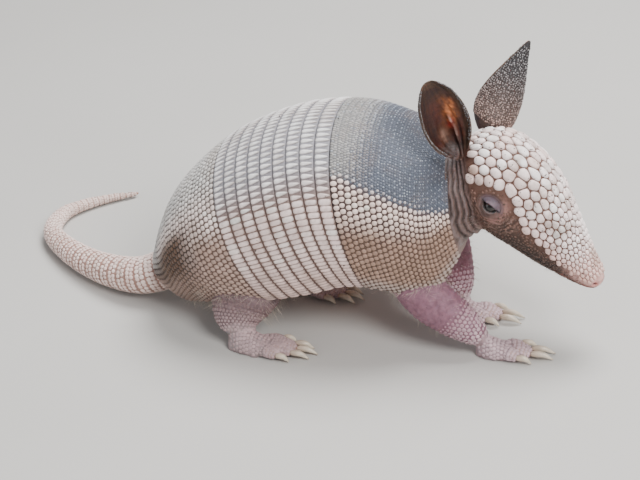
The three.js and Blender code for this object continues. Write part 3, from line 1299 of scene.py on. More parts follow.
    def lattice(self, plate: ShellPlate, pitch: float) -> Array:
        """A quincunx of scutes over a shield.

        Args:
            plate: the shield.
            pitch: distance between neighbours in a row, in millimetres.

        Returns:
            Stations, shares, half lengths and half widths of the scutes.
        """
        line = np.linspace(plate.rear + self.seam, plate.front - self.seam, 300)
        length = paces(SHELL.face(line, 0.45)).sum()
        rows = int(round(length / (pitch * self.row_squash)))
        out = []
        fine = np.linspace(-1, 1, 400)
        for row in range(rows):
            s = plate.rear + self.seam + (plate.length - 2 * self.seam) * (row + 0.5) / rows
            steps = running(paces(SHELL.face(s, fine)))
            count = int(round(steps[-1] / pitch))
            at = (np.arange(count) + (0.3 if row % 2 else 0.8)) / (count + 0.1)
            v = np.interp(at * steps[-1], steps, fine)
            here = np.full(count, s)
            half_length = size_of(SHELL.slopes(here, v)[0]) * plate.length / rows / 2
            out.append(np.stack([here, v, half_length, np.full(count, steps[-1] / count / 2)]))
        return np.concatenate(out, 1)

    def shield(self, plate: ShellPlate, pitch: float) -> None:
        """The scutes of a shield.

        Args:
            plate: the shield.
            pitch: distance between neighbours in a row, in millimetres.
        """
        s, v, length, width = self.lattice(plate, pitch)
        fine = self.grey_share(s, np.abs(v)) * (plate.zone is Zone.SHOULDER)
        small = (1 - 0.66 * fine) * (1 + self.rng.normal(0, 0.04, len(s)))
        s = s + self.rng.normal(0, 0.004, len(s))
        height = self.scute_height * (1.25 - 0.5 * fine)
        tint = self.scute_tint(plate, s, v)
        seats = self.seats(plate, s, v, length * 0.98 * small, width * 0.87 * small, height, tint)
        TREE.run(plate.node + "_scutes", seats, ROUND_BEAD, SHIELD_SCUTE, plate.zone.value)

    def pebbles(self, plate: ShellPlate) -> None:
        """Fine pebbles where the shoulder shield is slate or silver.

        Args:
            plate: the shoulder shield.
        """
        rows = self.lattice(plate, self.pebble_pitch)
        share = self.grey_share(rows[0], np.abs(rows[1]))
        s, v, length, width = rows[:, share > 0.25 + 0.3 * self.rng.random(len(share))]
        pale = self.rng.random(len(s)) < 0.07
        silver = self.silver_share(s, np.abs(v))
        tint = blend(SLATE * np.array([0.6, 0.64, 0.72]), SILVER * 0.8, silver)
        tint = tint * (0.7 + 0.45 * self.rng.random((len(s), 1)))
        tint = washed(tint, ((190, 198, 208), pale * 0.75))
        s = s + self.rng.normal(0, 0.006, len(s))
        small = 1 - 0.35 * pale
        height = 0.2 + 0.1 * pale
        grain = self.seats(plate, s, v, length * 0.95 * small, width * 0.88 * small, height, tint)
        TREE.run("shoulder_pebbles", grain, PEBBLE_BEAD, SHIELD_SCUTE, plate.zone.value, 0.12)

    def band(self, plate: ShellPlate) -> "tuple[Seats, Seats]":
        """The scutes of a band: long wedges over the back and blocks on the flanks.

        Args:
            plate: the band.

        Returns:
            The seats of the wedges and of the blocks.
        """
        middle = (plate.rear + plate.front) / 2
        fine = np.linspace(-1, 1, 400)
        narrow = 1 - 0.32 * smooth(0.45, 0.95, np.abs(fine[1:]))
        steps = running(paces(SHELL.face(middle, fine)) / narrow)
        at = (np.arange(self.band_scutes) + 0.5) / self.band_scutes
        v = np.interp(at * steps[-1], steps, fine)
        s = np.full(len(v), middle)
        length = size_of(SHELL.slopes(s, v)[0]) * (plate.length - 2 * self.seam) / 2
        spacing = steps[-1] / self.band_scutes * np.interp(v, fine[1:], narrow)
        tint = self.scute_tint(plate, s, v)
        width = spacing / 2 * 0.97 * (1 + self.rng.normal(0, 0.05, len(v)))
        seats = self.seats(plate, s - 0.006, v, length * 0.95, width, self.scute_height * 1.3, tint)
        seats.patch[:, 0] = (int(plate.node.split("_")[1]) - 0.5) / self.band_count
        back = np.abs(v) < 0.5
        return seats.kept(back), seats.kept(~back)

    def build(self) -> None:
        """Builds and dresses every plate and scute."""
        bands = []
        for plate in self.plates:
            self.base(plate)
            if plate.zone is Zone.BANDS:
                bands.append(self.band(plate))
            else:
                self.shield(plate, self.pelvic_pitch if plate.zone is Zone.PELVIS else self.shoulder_pitch)
        self.pebbles(plate)
        for name, parts, bead in zip(("wedge", "block"), zip(*bands), (WEDGE_BEAD, BLOCK_BEAD)):
            TREE.run(f"band_{name}_scutes", Seats.join(parts), bead, BAND_SCUTE, Zone.BANDS.value)


# ---- legs and feet
@dataclass(frozen=True)
class Foot:
    """The make of a fore or hind foot, in millimetres of its own frame.

    Each toe has how far left and how far ahead its tip lies, and its claw's length.
    """

    heel: float
    ball: float
    side: tuple
    over: tuple
    toes: tuple


HIND = Foot(
    -7, 17, (5.2, 6, 7.2, 7.6, 6), (8.5, 11, 9.5, 7.5, 4.5),
    ((-7.6, 21, 5), (-4, 27, 7.5), (0, 29, 8.5), (4, 27, 7.5), (7.6, 20, 5)),
)
FORE = Foot(
    -5, 13, (4.8, 5.6, 6.6, 7, 5.6), (7, 10, 9, 7, 4.5),
    ((-6.2, 16, 5.5), (-2.2, 22, 9), (2.2, 22, 9.5), (6.4, 17, 6)),
)


@dataclass(frozen=True)
class Leg:
    """A leg with its foot, toes and claws."""

    name: str
    limb: Limb
    foot: Foot
    at: tuple
    heading: float
    toe_radius: float = 2.7
    toe_splay: float = 0.55

    @property
    def hind(self) -> bool:
        """Whether it is a hind leg."""
        return self.foot is HIND

    def spot(self, forward: float, left: float, height: float) -> tuple:
        """Turns a point of the foot's own frame into the animal's frame.

        Args:
            forward: how far it lies ahead of the ankle.
            left: how far it lies to the left.
            height: its height.

        Returns:
            The point.
        """
        turn = math.radians(self.heading)
        x = self.at[0] + forward * math.cos(turn) - left * math.sin(turn)
        return (x, self.at[1] + forward * math.sin(turn) + left * math.cos(turn), height)

    def sole(self) -> Limb:
        """The foot itself."""
        spine = tuple(self.spot(forward, 0, 0) for forward in (self.foot.heel, self.foot.ball))
        return Limb(spine, self.foot.side, self.foot.over, self.foot.over)

    def toe(self, left: float, reach: float) -> Limb:
        """Makes one toe.

        Args:
            left: how far its tip lies to the left.
            reach: how far its tip lies ahead.

        Returns:
            The toe.
        """
        root = self.toe_splay * left
        spine = (
            self.spot(reach * 0.4, root, 3.2),
            self.spot(reach * 0.72, (root + left) / 2, 3.4),
            self.spot(reach, left, 2.4),
        )
        radii = tuple(self.toe_radius * share for share in (1, 1.05, 0.9))
        return Limb(spine, radii, radii, radii)

    def claw(self, left: float, reach: float, length: float) -> Limb:
        """Makes one claw, longer than thick and bent down to its point.

        Args:
            left: how far the toe's tip lies to the left.
            reach: how far the toe's tip lies ahead.
            length: how far the claw stands out of it.

        Returns:
            The claw.
        """
        out = left * (1 + 0.35 * length / reach)
        spine = (
            self.spot(reach - 1.5, left, 3),
            self.spot(reach + 0.45 * length, (left + out) / 2, 3),
            self.spot(reach + length, out, 0.7),
        )
        return Limb(spine, (1.7, 1.4, 0.4), (1.9, 1.5, 0.4), (1.7, 1.2, 0.4))

    def flesh(self, coat: float) -> list:
        """Lofts of the leg, foot and toes, under the skin by the coat's depth."""
        toes = [self.toe(left, reach).loft(20, 16, -coat * 0.6) for left, reach, _ in self.foot.toes]
        return [self.limb.loft(40, 36, -coat), self.sole().loft(32, 22, -coat), *toes]

    def claws(self) -> Obj:
        """All claws of the foot, each in the place of its own solid.

        Returns:
            The piece.
        """
        around, rings = 18, 22
        lofts = [self.claw(*toe).loft(around, rings, -0.05) for toe in self.foot.toes]
        t = np.clip((np.arange(len(lofts[0][0])) - 1) // around / (rings - 2), 0, 1)
        tint = washed(
            srgb(196, 176, 158),
            ((226, 214, 194), smooth(0.2, 0.7, t)),
            ((168, 146, 124), smooth(0.75, 1, t)),
        )
        nodes = [f"claw_{self.name}_{n + 1}" for n in range(len(lofts))]
        tint = np.tile(tint, (len(lofts), 1))
        return dressed("claws_" + self.name, joined(lofts), tint, CLAW, "claw_horn", *nodes)


LEGS = (
    Leg("hind_right", Limb(
        ((-24, -21, 38), (-25.5, -26, 26), (-28.5, -35, 15.5), (-28.5, -41.5, 7)),
        (11, 10.5, 9.5, 7), (19, 18.5, 13.5, 8), (19, 18, 14, 9), (1.0, 0.0, 0.0), 0.35,
    ), HIND, (-27, -42), -2),
    Leg("hind_left", Limb(
        ((-22, 25, 38), (-20, 27, 26), (-17, 19, 15), (-16, 14, 7)),
        (12, 12, 10, 7), (17, 16, 12, 8), (17, 16, 12.5, 8.5), (1.0, 0.0, 0.0), 0.35,
    ), HIND, (-15, 14), -14),
    Leg("fore_right", Limb(
        ((46, -24, 42), (59, -29, 28), (73, -31, 18), (86, -31, 8)),
        (11, 10.5, 9, 6.8), (12.5, 11.5, 9.8, 6.5), (12.5, 11.5, 9.8, 6.5), (1.0, 0.0, 0.0), 0.35,
    ), FORE, (86, -31), 2),
    Leg("fore_left", Limb(
        ((54, 22, 44), (61, 15, 31), (67, 6, 18), (69, 1, 8)),
        (11, 10.5, 8.5, 6.8), (12.5, 11, 8.5, 6.5), (12.5, 11, 8.5, 6.5), (1.0, 0.0, 0.0), 0.35,
    ), FORE, (68, 0), -5),
)


# ---- ears
@dataclass(frozen=True)
class Ear:
    """A cupped ear on its root, in millimetres of the animal's own frame."""

    hand: Hand
    root: tuple
    tip: tuple
    facing: tuple
    half: tuple
    bend: tuple = (2.4, 1.9, 1.4, 1.15, 1, 0.9, 0.8)
    thick: tuple = (3.2, 2.6, 1.9, 1.6, 1.5, 1.4, 1.2)

    def axes(self) -> tuple:
        """The ear's own axes.

        Returns:
            The root, the rise to the tip, the facing square to it, and the right side.
        """
        root = np.array(self.root, float)
        rise = np.array(self.tip, float) - root
        out = np.array(self.facing, float)
        out = unit(out - rise * (out @ rise) / (rise @ rise))
        return root, rise, out, np.cross(unit(rise), out)

    @staticmethod
    def closing(height: Array) -> Array:
        """How full the ear is at shares of its height: less toward both ends."""
        return np.sqrt(np.sin(np.arccos(1 - 2 * np.clip(height, 0.002, 0.998))))

    def cup(self, height: Array, close: Array) -> tuple:
        """The bent section of the ear.

        Args:
            height: shares of its height.
            close: how full the ear is there.

        Returns:
            How far the section bends to each side, its radius, and how far the
            middle of the bend lies in front of its rims.
        """
        at = np.clip(height, 0, 1) * (len(self.half) - 1)
        half = np.maximum(spline(self.half, at), 1) * close
        bend = spline(self.bend, at)
        curve = np.sin(np.minimum(bend, math.pi / 2))
        return bend, half / curve, half * np.cos(bend) / curve

    def spot(self, height: Array, angle: Array, radius: Array, sunk: Array) -> Array:
        """Points of the ear.

        Args:
            height: shares of its height.
            angle: turns about the middle of the bend.
            radius: distances from it.
            sunk: how far it lies in front of the rims.

        Returns:
            The points.
        """
        root, rise, out, right = self.axes()
        across = (radius * np.sin(angle))[..., None] * right
        back = (radius * np.cos(angle) - sunk)[..., None] * out
        return root + np.asarray(height)[..., None] * rise + across - back

    def loft(self, around: int, rings: int, grow: float) -> tuple:
        """A closed mesh of the ear.

        Args:
            around: points round each section.
            rings: steps from root to tip.
            grow: how far the skin is moved outward.

        Returns:
            Points and faces.
        """
        step = (np.arange(rings + 1) / rings)[:, None]
        height = (1 - np.cos(np.pi * step)) / 2
        close = np.sqrt(np.sin(np.pi * np.minimum(step, 1 - step)))
        bend, middle, sunk = self.cup(height, close)
        thick = close * spline(self.thick, height * (len(self.thick) - 1)) / 2 + grow
        thick = np.maximum(thick, 0.3 * close)
        u = 2 * np.pi * np.arange(around)[None] / around
        ridge = self.ridge(height, np.cos(u)) * close
        radius = middle + thick * np.sin(-u) + np.where(np.sin(-u) < 0, -ridge, 0)
        rim = 1.3 * close * np.exp(-((np.abs(np.cos(u)) - 1) ** 2) / 0.003)
        place = self.spot(height, bend * np.cos(u), radius, sunk + rim)
        first, last = place[0].mean(0)[None], place[-1].mean(0)[None]
        return np.concatenate([first, place[1:-1].reshape(-1, 3), last]), tube_faces(rings, around)

    @staticmethod
    def veins(height: Array, across: Array) -> tuple:
        """The veins and the fine lines of the inner face, each from -1 to 1."""
        vein = np.sin(26 * across + 5 * np.sin(6 * height)) * np.sin(9 * height + 4 * across)
        return vein, np.sin(70 * across + 6 * np.sin(17 * height))

    @staticmethod
    def ridge(height: Array, across: Array) -> Array:
        """Folds on the inner face: a long cord of gristle and finer ones beside it.

        Args:
            height: shares of its height.
            across: places from rim to rim, -1 to 1.

        Returns:
            How far the folds stand out.
        """
        cord = 2.0 * hump(across, 0.5 - 0.35 * height, 0.1) * smooth(0.85, 0.35, height)
        side = 1.4 * hump(across, -0.45 + 0.4 * height, 0.08) * smooth(0.65, 0.25, height)
        fork = 1.2 * hump(across, 0.8 - 0.45 * height, 0.06) * smooth(0.85, 0.5, height)
        vein, line = Ear.veins(height, across)
        return cord + side + fork + 0.24 * (1 + vein) + 0.09 * (1 + line)

    def share(self, points: Array) -> tuple:
        """Finds where points lie on the ear.

        Args:
            points: the places, in own-frame millimetres.

        Returns:
            Their shares of its height, their places from rim to rim, and how far
            out of the cup they are.
        """
        root, rise, out, right = self.axes()
        offset = points - root
        height = offset @ rise / (rise @ rise)
        bend, middle, sunk = self.cup(height, self.closing(height))
        across = offset @ right
        depth = -(offset @ out) + sunk
        return height, np.arctan2(across, depth) / bend, np.hypot(across, depth) - middle


EARS = (
    Ear(Hand.RIGHT, (76, -16.5, 92), (63, -24, 131), (0.6, -0.8, 0.1),
        (4.4, 8.2, 10.2, 10.7, 10.2, 8.8, 5.6)),
    Ear(Hand.LEFT, (81, 8.5, 93), (100.5, 18.5, 133), (-0.25, 0.97, -0.1),
        (5.6, 9.9, 10.2, 8.6, 6.3, 3.7, 1.5)),
)


# ---- the skin
@dataclass(frozen=True)
class EyeShape:
    """The opening between the lids, in millimetres along and across the eye."""

    half_length: float = 3.55
    upper: float = 1.75
    lower: float = 1.3
    lid: float = 0.5
    slant: float = math.radians(-3)
    rise: float = 0.25

    def reach(self, x: Array, y: Array) -> Array:
        """How far out places are.

        Args:
            x: how far ahead of the eye's centre they lie.
            y: how far above it.

        Returns:
            Under one in the opening and over one on the lids.
        """
        y = y - self.rise
        along = x * math.cos(self.slant) - y * math.sin(self.slant)
        across = x * math.sin(self.slant) + y * math.cos(self.slant)
        width = np.abs(along) / self.half_length
        half = np.where(across > 0, self.upper, self.lower)
        rise = np.abs(across) / (half * np.sqrt(np.maximum(1 - width**1.7, 0.02)))
        return np.maximum(np.hypot(width, np.abs(across) / half), np.minimum(rise, 4))


EYE_SHAPE = EyeShape()


FRONT_CREST = SHELL.stations[-1][:2]
FRONT_SLANT = 0.1625


def past_shell(points: Array) -> Array:
    """How far points lie ahead of the shell's slanting front edge."""
    return points[:, 0] - FRONT_CREST[0] - FRONT_SLANT * (FRONT_CREST[1] - points[:, 2])


@dataclass
class Skin:
    """One skin over trunk, neck, head, ears, tail, legs and feet.

    Lengths are in millimetres, and points in the animal's own frame.
    """

    coat: float = 0.4
    trunk_depth: float = 2.9
    belly_drop: float = 8.0
    chest_bulge: float = 8.6
    voxel: float = 1.5
    ear_coat: float = 0.25
    eye_room: float = 9
    tree: "BVHTree | None" = None

    def trunk(self, columns: int = 60, belly: int = 24, rings: int = 60) -> tuple:
        """The trunk under the shell, closed by a hanging belly.

        Args:
            columns: points round the back from hem to hem.
            belly: points across the belly.
            rings: steps from rump to chest.

        Returns:
            Points and faces.
        """
        across = np.linspace(-1, 1, belly + 1)[:-1]
        v = np.concatenate([np.linspace(1, -1, columns + 1)[:-1], np.where(across < 0, -1.0, 1.0)])
        s = np.linspace(0, SHELL.last, rings - 1)
        points = SHELL.under(s[:, None], v, self.trunk_depth)
        edge = SHELL.under(s, 1.0, self.trunk_depth)
        points[:, columns:, 0] = edge[:, :1]
        points[:, columns:, 1] = edge[:, 1:2] * across
        points[:, columns:, 2] = edge[:, 2:3] - self.belly_drop * (1 - across**2)
        tail_crest, chest_crest = SHELL.under(np.array([0.0, SHELL.last]), 0.0, self.trunk_depth)
        first = np.array([edge[0, 0], 0, edge[0, 2]]) * 0.6 + tail_crest * 0.4
        last = np.array([edge[-1, 0] + self.chest_bulge, 0, edge[-1, 2]]) * 0.7 + chest_crest * 0.3
        points = np.concatenate([first[None], points.reshape(-1, 3), last[None]])
        return points, tube_faces(rings, columns + belly)

    def rough(self) -> Obj:
        """Joins all lofts into one closed skin of even small faces.

        Returns:
            The skin.
        """
        parts = [
            self.trunk(),
            NECK.loft(56, 40, -self.coat),
            HEAD.loft(72, 90, -self.coat),
            TAIL.loft(32, 150, -self.coat),
        ]
        for leg in LEGS:
            parts += leg.flesh(self.coat)
        points, faces = joined(parts)
        obj = new_object("skin_lofts", to_frame(points), faces)
        remesh = obj.modifiers.new("voxels", "REMESH")
        remesh.mode = "VOXEL"
        remesh.voxel_size = self.voxel * MM
        return freeze(obj, "skin")

    def with_ears(self, obj: Obj) -> Obj:
        """Joins the two finely made ears to the skin.

        Args:
            obj: the skin.

        Returns:
            The skin with its ears.
        """
        for ear in EARS:
            points, faces = ear.loft(72, 46, -self.ear_coat)
            other = new_object("ear_" + ear.hand.value, to_frame(points), faces)
            face_out(other)
            join = obj.modifiers.new("ear", "BOOLEAN")
            join.operation = "UNION"
            join.solver = "MANIFOLD"
            join.object = other
            obj = freeze(obj, "skin")
            discard(other)
        return obj

    @staticmethod
    def relax(mesh: Mesh, rounds: int, hold: float = 0.0, pull: float = 0.5) -> None:
        """Smooths a mesh.

        Args:
            mesh: the mesh to smooth.
            rounds: how many times.
            hold: how much of the lost volume is given back in each round.
            pull: how far each vertex goes to the middle of its neighbours.
        """
        edges = np.empty(len(mesh.edges) * 2, np.int32)
        mesh.edges.foreach_get("vertices", edges)
        a, b = edges.reshape(-1, 2).T
        count = len(mesh.vertices)
        degree = np.maximum(np.bincount(a, minlength=count) + np.bincount(b, minlength=count), 1)
        points = coords(mesh)
        for _ in range(rounds):
            for sign in (1.0, -hold) if hold else (1.0,):
                sums = (np.bincount(a, row[b], count) + np.bincount(b, row[a], count) for row in points.T)
                points = points + (np.stack(list(sums), 1) / degree[:, None] - points) * pull * sign
        set_coords(mesh, points)

    @staticmethod
    def refine(mesh: Mesh, wanted: Array) -> None:
        """Splits the faces whose vertices are all wanted into four.

        Args:
            mesh: the mesh.
            wanted: whether each vertex is wanted.
        """
        work = bmesh.new()
        work.from_mesh(mesh)
        work.verts.ensure_lookup_table()
        edges = [e for e in work.edges if wanted[e.verts[0].index] and wanted[e.verts[1].index]]
        bmesh.ops.subdivide_edges(work, edges=edges, cuts=1, use_grid_fill=True)
        work.to_mesh(mesh)
        work.free()
        mesh.update()

    def form_head(self, points: Array, normal: Array) -> Array:
        """Models the head: brow, cheeks, muzzle, mouth and nose.

        Args:
            points: places on the skin.
            normal: their normals.

        Returns:
            The moved points.
        """
        t, turn, ratio = HEAD.locate(points, 240)
        low = np.sin(turn)
        slope = 0.25 * (t - 0.6)
        mouth = hump(low, -0.52 - slope, 0.05) * smooth(0.5, 0.6, t) * smooth(0.99, 0.94, t)
        lip = hump(low, -0.38 - slope, 0.07) * smooth(0.5, 0.65, t) * smooth(1, 0.94, t)
        push = (
            0.9 * hump(t, 0.26, 0.09) * hump(low, 0.42, 0.22)
            - 0.7 * hump(t, 0.47, 0.08) * hump(low, 0.05, 0.3)
            + 0.7 * hump(t, 0.4, 0.13) * hump(low, -0.45, 0.25)
            + 0.5 * hump(t, 0.93, 0.05) * smooth(-0.5, 0.3, low)
            + 0.16 * self.cheek_folds(points) * smooth(0.75, 0.5, t)
            - 0.75 * mouth * np.abs(np.cos(turn))
            + 0.25 * lip
        )
        on_head = smooth(1.35, 1.15, ratio) * smooth(0.0, 0.03, t)
        moved = points + normal * (push * on_head)[:, None]
        for hand in Hand:
            gap, way = self.nostril(moved, hand)
            moved = moved + way * (0.3 * hump(gap, 1.5, 0.35) - 1.6 * smooth(1.2, 0.3, gap))[:, None]
        return moved

    @staticmethod
    def nostril(points: Array, hand: Hand) -> tuple:
        """Finds where points lie about a nostril.

        Args:
            points: places on the skin.
            hand: the side of the nostril.

        Returns:
            Their distances from it, in its own radii, and the way in which it opens.
        """
        turn = hand.mirrored(NOSTRIL_TURN)
        share = np.array([NOSTRIL_ALONG])
        _, ahead, up, right = HEAD.frames(share)
        place = HEAD.surface(share, np.array([turn]), HEAD.fullness(share))[0]
        way = unit(right[0] * math.cos(turn) + up[0] * math.sin(turn) + ahead[0] * 0.9)
        offset = points - place
        depth = offset @ way
        return size_of(offset - np.outer(depth, way)) / NOSTRIL_RADIUS + 9 * (depth < -5), way

    @staticmethod
    def cheek_folds(points: Array) -> Array:
        """Fine folds that curve round below and in front of each eye.

        Args:
            points: places on the skin.

        Returns:
            The height of the folds, from -1 to 1.
        """
        out = np.zeros(len(points))
        for hand in Hand:
            x, y, _ = eye_place(points, hand)
            flat = np.hypot(x, y * 1.25)
            wave = 0.5 * np.sin(0.8 * x + 0.3 * y) + 0.3 * np.sin(1.7 * y + 0.6 * x)
            share = smooth(6, 7.2, flat) * smooth(19, 13, flat) * smooth(1.5, -1.5, y - 0.25 * x)
            out += np.cos(2 * np.pi * (flat + wave) / 1.9) * share * (np.sign(points[:, 1]) == hand.side)
        return out

    @staticmethod
    def neck_folds(points: Array) -> tuple:
        """The folds that run down the neck beside the shell's front edge.

        Args:
            points: places on the skin.

        Returns:
            The height of the folds, from -1 to 1, and how strongly they show.
        """
        _, y, z = points.T
        gap = past_shell(points)
        wave = 0.9 * np.sin(0.16 * z + 0.05 * y) + 0.45 * np.sin(0.41 * z + 1.0) + 0.2 * np.sin(0.9 * z)
        spread = 1 + 0.012 * (z - 60)
        folds = np.cos(2 * np.pi * (gap * spread + wave) / 2.9)
        share = smooth(-2.5, -0.5, gap) * smooth(13, 6.5, gap + 0.10 * np.abs(z - 62)) * (z > 38)
        t, turn, ratio = HEAD.locate(points, 120)
        crown = smooth(1.3, 1.15, ratio) * smooth(0.72, 0.9, np.sin(turn)) * smooth(0.0, 0.06, t)
        return np.sign(folds) * np.abs(folds) ** 0.8, share * (1 - crown) * smooth(98, 92, z)

    def fold_neck(self, points: Array, normal: Array) -> Array:
        """Wrinkles the neck between the shell and the head.

        Args:
            points: places on the skin.
            normal: their normals.

        Returns:
            The moved points.
        """
        fold, share = self.neck_folds(points)
        fine = np.cos(2 * np.pi * (points[:, 0] + 0.25 * points[:, 2] + np.sin(0.5 * points[:, 2])) / 1.5)
        return points + normal * ((0.5 * fold + 0.08 * fine) * share)[:, None]

    @staticmethod
    def open_eye(points: Array, hand: Hand) -> Array:
        """Shapes the lids round an eyeball and the slit between them.

        Args:
            points: places on the skin.
            hand: the side of the eye.

        Returns:
            The moved points.
        """
        x, y, out = eye_place(points, hand)
        flat = np.hypot(x, y)
        near = (out > -0.5) & (flat < 8.5)
        reach = EYE_SHAPE.reach(x, y)
        lid = EYE_RADIUS + EYE_SHAPE.lid * (1 + 0.7 * hump(reach, 1.3, 0.3) * (y > 0))
        inside = smooth(1.08, 0.9, reach)
        radius = lid * (1 - inside) + (EYE_RADIUS - 1.1) * inside
        height = np.sqrt(np.maximum(radius**2 - flat**2, 0))
        over_ball = smooth(4.25, 3.3, flat)
        upper = smooth(-0.4, 0.5, y / np.maximum(flat, 0.1))
        crease = 0.28 * hump(flat, 4.9, 0.3) * upper + 0.2 * hump(flat, 6.1, 0.3) * upper
        crease = crease + 0.3 * hump(flat, 4.7, 0.35) * (1 - upper) + 0.25 * hump(flat, 5.9, 0.3)
        target = np.maximum(height, out - 0.8) * (1 - inside) + height * inside
        new_out = out * (1 - over_ball) + target * over_ball - crease
        swell = 0.5 * hump(flat, 6.2, 1.1)
        shift = np.where(near, new_out + swell * (1 - over_ball) - out, 0)
        return points + eye_axes(hand)[2] * shift[:, None]

    @staticmethod
    def wrinkle_legs(points: Array, normal: Array) -> Array:
        """Runs fine creases round the legs.

        Args:
            points: places on the skin.
            normal: their normals.

        Returns:
            The moved points.
        """
        spots = [leg.limb.locate(points, 80) for leg in LEGS]
        owner = np.argmin(np.stack([spot[2] for spot in spots]), 0)
        push = np.zeros(len(points))
        for index, (leg, (t, turn, ratio)) in enumerate(zip(LEGS, spots)):
            mine = (owner == index) * smooth(1.35, 1.1, ratio)
            along = t * leg.limb.length()
            wave = 0.7 * np.sin(2 * turn + index) + 0.35 * np.sin(5 * turn)
            lines = np.cos(2 * np.pi * (along + wave) / 2.6)
            fine = np.cos(2 * np.pi * (along + 0.5 * wave + 0.2 * np.sin(11 * turn)) / 1.25)
            push += mine * (0.2 * lines * np.sqrt(np.abs(lines))) * smooth(0.15, 0.45, t)
            push += mine * 0.12 * fine * smooth(0.62, 0.5, t) * leg.hind
        return points + normal * push[:, None]

    def colours(self, points: Array) -> Array:
        """Tints of the whole skin.

        Args:
            points: places on the skin.

        Returns:
            A colour for each point.
        """
        tint = np.tile(srgb(202, 168, 158), (len(points), 1))
        for index, leg in enumerate(LEGS):
            t, _, ratio = leg.limb.locate(points, 60)
            far = leg.name.endswith("left")
            # Painted shade under the body: the far fore leg gets a darker colour, and both far legs
            # stronger dark patches than the near ones.
            skin = srgb(120, 98, 100) if leg.hind else srgb(132, 88, 100) if far else srgb(140, 100, 115)
            patch = 0.5 + 0.5 * np.sin(points[:, 0] * 0.9 + 2 * np.sin(points[:, 2] * 0.7 + index))
            shade = blend(skin, skin * np.array([0.72, 0.6, 0.66]), 0.45 * patch * (0.6 + 0.4 * far))
            tint = blend(tint, shade, smooth(1.5, 1.15, ratio) * smooth(0.0, 0.12, t))
            sole = leg.sole().locate(points, 30)[2]
            tint = blend(tint, blend(skin, srgb(196, 178, 178), 0.5), smooth(1.5, 1.2, sole))
        t, _, ratio = TAIL.locate(points, 200)
        tail = washed(srgb(170, 132, 120), ((198, 160, 148), smooth(0.2, 0.8, t)))
        tint = blend(tint, tail, smooth(1.6, 1.2, ratio) * smooth(0.0, 0.03, t))
        t, turn, ratio = NECK.locate(points, 100)
        neck = washed(srgb(112, 96, 94), ((132, 106, 98), smooth(0.2, -0.7, np.sin(turn))))
        tint = blend(tint, neck, smooth(1.6, 1.3, ratio) * smooth(0.05, 0.25, t))
        fold, share = self.neck_folds(points)
        return washed(
            self.head_colours(points, tint),
            ((96, 80, 77), 0.6 * share),
            # Painted highlight on the crests of the neck folds and painted shade in their troughs.
            ((146, 132, 134), 0.4 * share * smooth(0.3, 0.9, fold)),
            ((46, 36, 34), 0.8 * share * smooth(-0.1, -0.8, fold)),
        )

    def head_colours(self, points: Array, tint: Array) -> Array:
        """Tints of the head and ears laid over those of the rest.

        Args:
            points: places on the skin.
            tint: tints of the rest.

        Returns:
            A colour for each point.
        """
        t, turn, ratio = HEAD.locate(points, 240)
        low = np.sin(turn)
        fold = self.cheek_folds(points)
        head = washed(
            srgb(101, 69, 57),
            ((72, 51, 41), smooth(0.25, -0.25, low) * smooth(0.3, 0.5, t)),
            ((48, 34, 29), smooth(0.0, -0.5, low) * smooth(0.4, 0.6, t)),
            ((226, 180, 172), smooth(0.74, 0.9, t) * smooth(-0.7, -0.1, low)),
            ((150, 84, 72), smooth(-0.35, -0.75, low) * smooth(0.7, 0.85, t) * 0.85),
            # Pale streaks on the crests of the cheek folds, partly painted highlight, and painted shade in
            # their troughs.
            ((168, 134, 124), 0.55 * smooth(0.1, 0.9, fold)),
            ((58, 42, 38), 0.6 * smooth(-0.2, -0.9, fold)),
            ((176, 140, 128), smooth(-0.5, -0.85, low) * smooth(0.5, 0.3, t)),
        )
        tint = blend(tint, head, smooth(1.3, 1.12, ratio) * smooth(0.01, 0.05, t))
        for hand in Hand:
            tint = self.eye_colours(hand, points, tint)
        for ear in EARS:
            tint = self.ear_colours(ear, points, tint)
        return tint

    def eye_colours(self, hand: Hand, points: Array, tint: Array) -> Array:
        """Tints round one eye and nostril laid over those of the rest.

        Args:
            hand: the side of the head.
            points: places on the skin.
            tint: tints of the rest.

        Returns:
            A colour for each point.
        """
        gap = size_of(points - eye_centre(hand))
        x, y, _ = eye_place(points, hand)
        flat = np.hypot(x, y)
        reach = EYE_SHAPE.reach(x, y)
        shade = washed(
            srgb(120, 96, 92),
            ((116, 101, 113), smooth(-0.6, 0.8, y)),
            ((176, 162, 164), hump(reach, 1.55, 0.2) * smooth(0.5, -0.5, y) * 0.7),
        )
        # Painted shade in the creases round the lids, and painted shadow beyond the corners of the
        # opening.
        crease = hump(flat, 4.9, 0.2) * smooth(0, 1.5, y) + 0.8 * hump(flat, 6.05, 0.22)
        corner = hump(y - EYE_SHAPE.rise, 0, 0.5) * hump(np.abs(x), 4.2, 0.8)
        tint = washed(tint, ((158, 116, 108), smooth(10, 7, gap) * smooth(1, 5, x) * 0.8))
        nose = self.nostril(points, hand)[0]
        return washed(
            blend(tint, shade, smooth(7.5, 4.0, gap) * 0.9),
            ((72, 50, 46), crease * 0.5 * smooth(8, 7, gap)),
            ((40, 28, 27), corner * (gap < 7) * 0.85),
            # Dark lid margins round the opening, partly painted shadow of the lids.
            ((26, 19, 19), smooth(1.42, 1.12, reach) * (gap < 6)),
            ((208, 148, 142), smooth(2.6, 1.4, nose) * 0.8),
            # Painted shade down in the nostril.
            ((26, 14, 13), smooth(0.95, 0.5, nose)),
        )

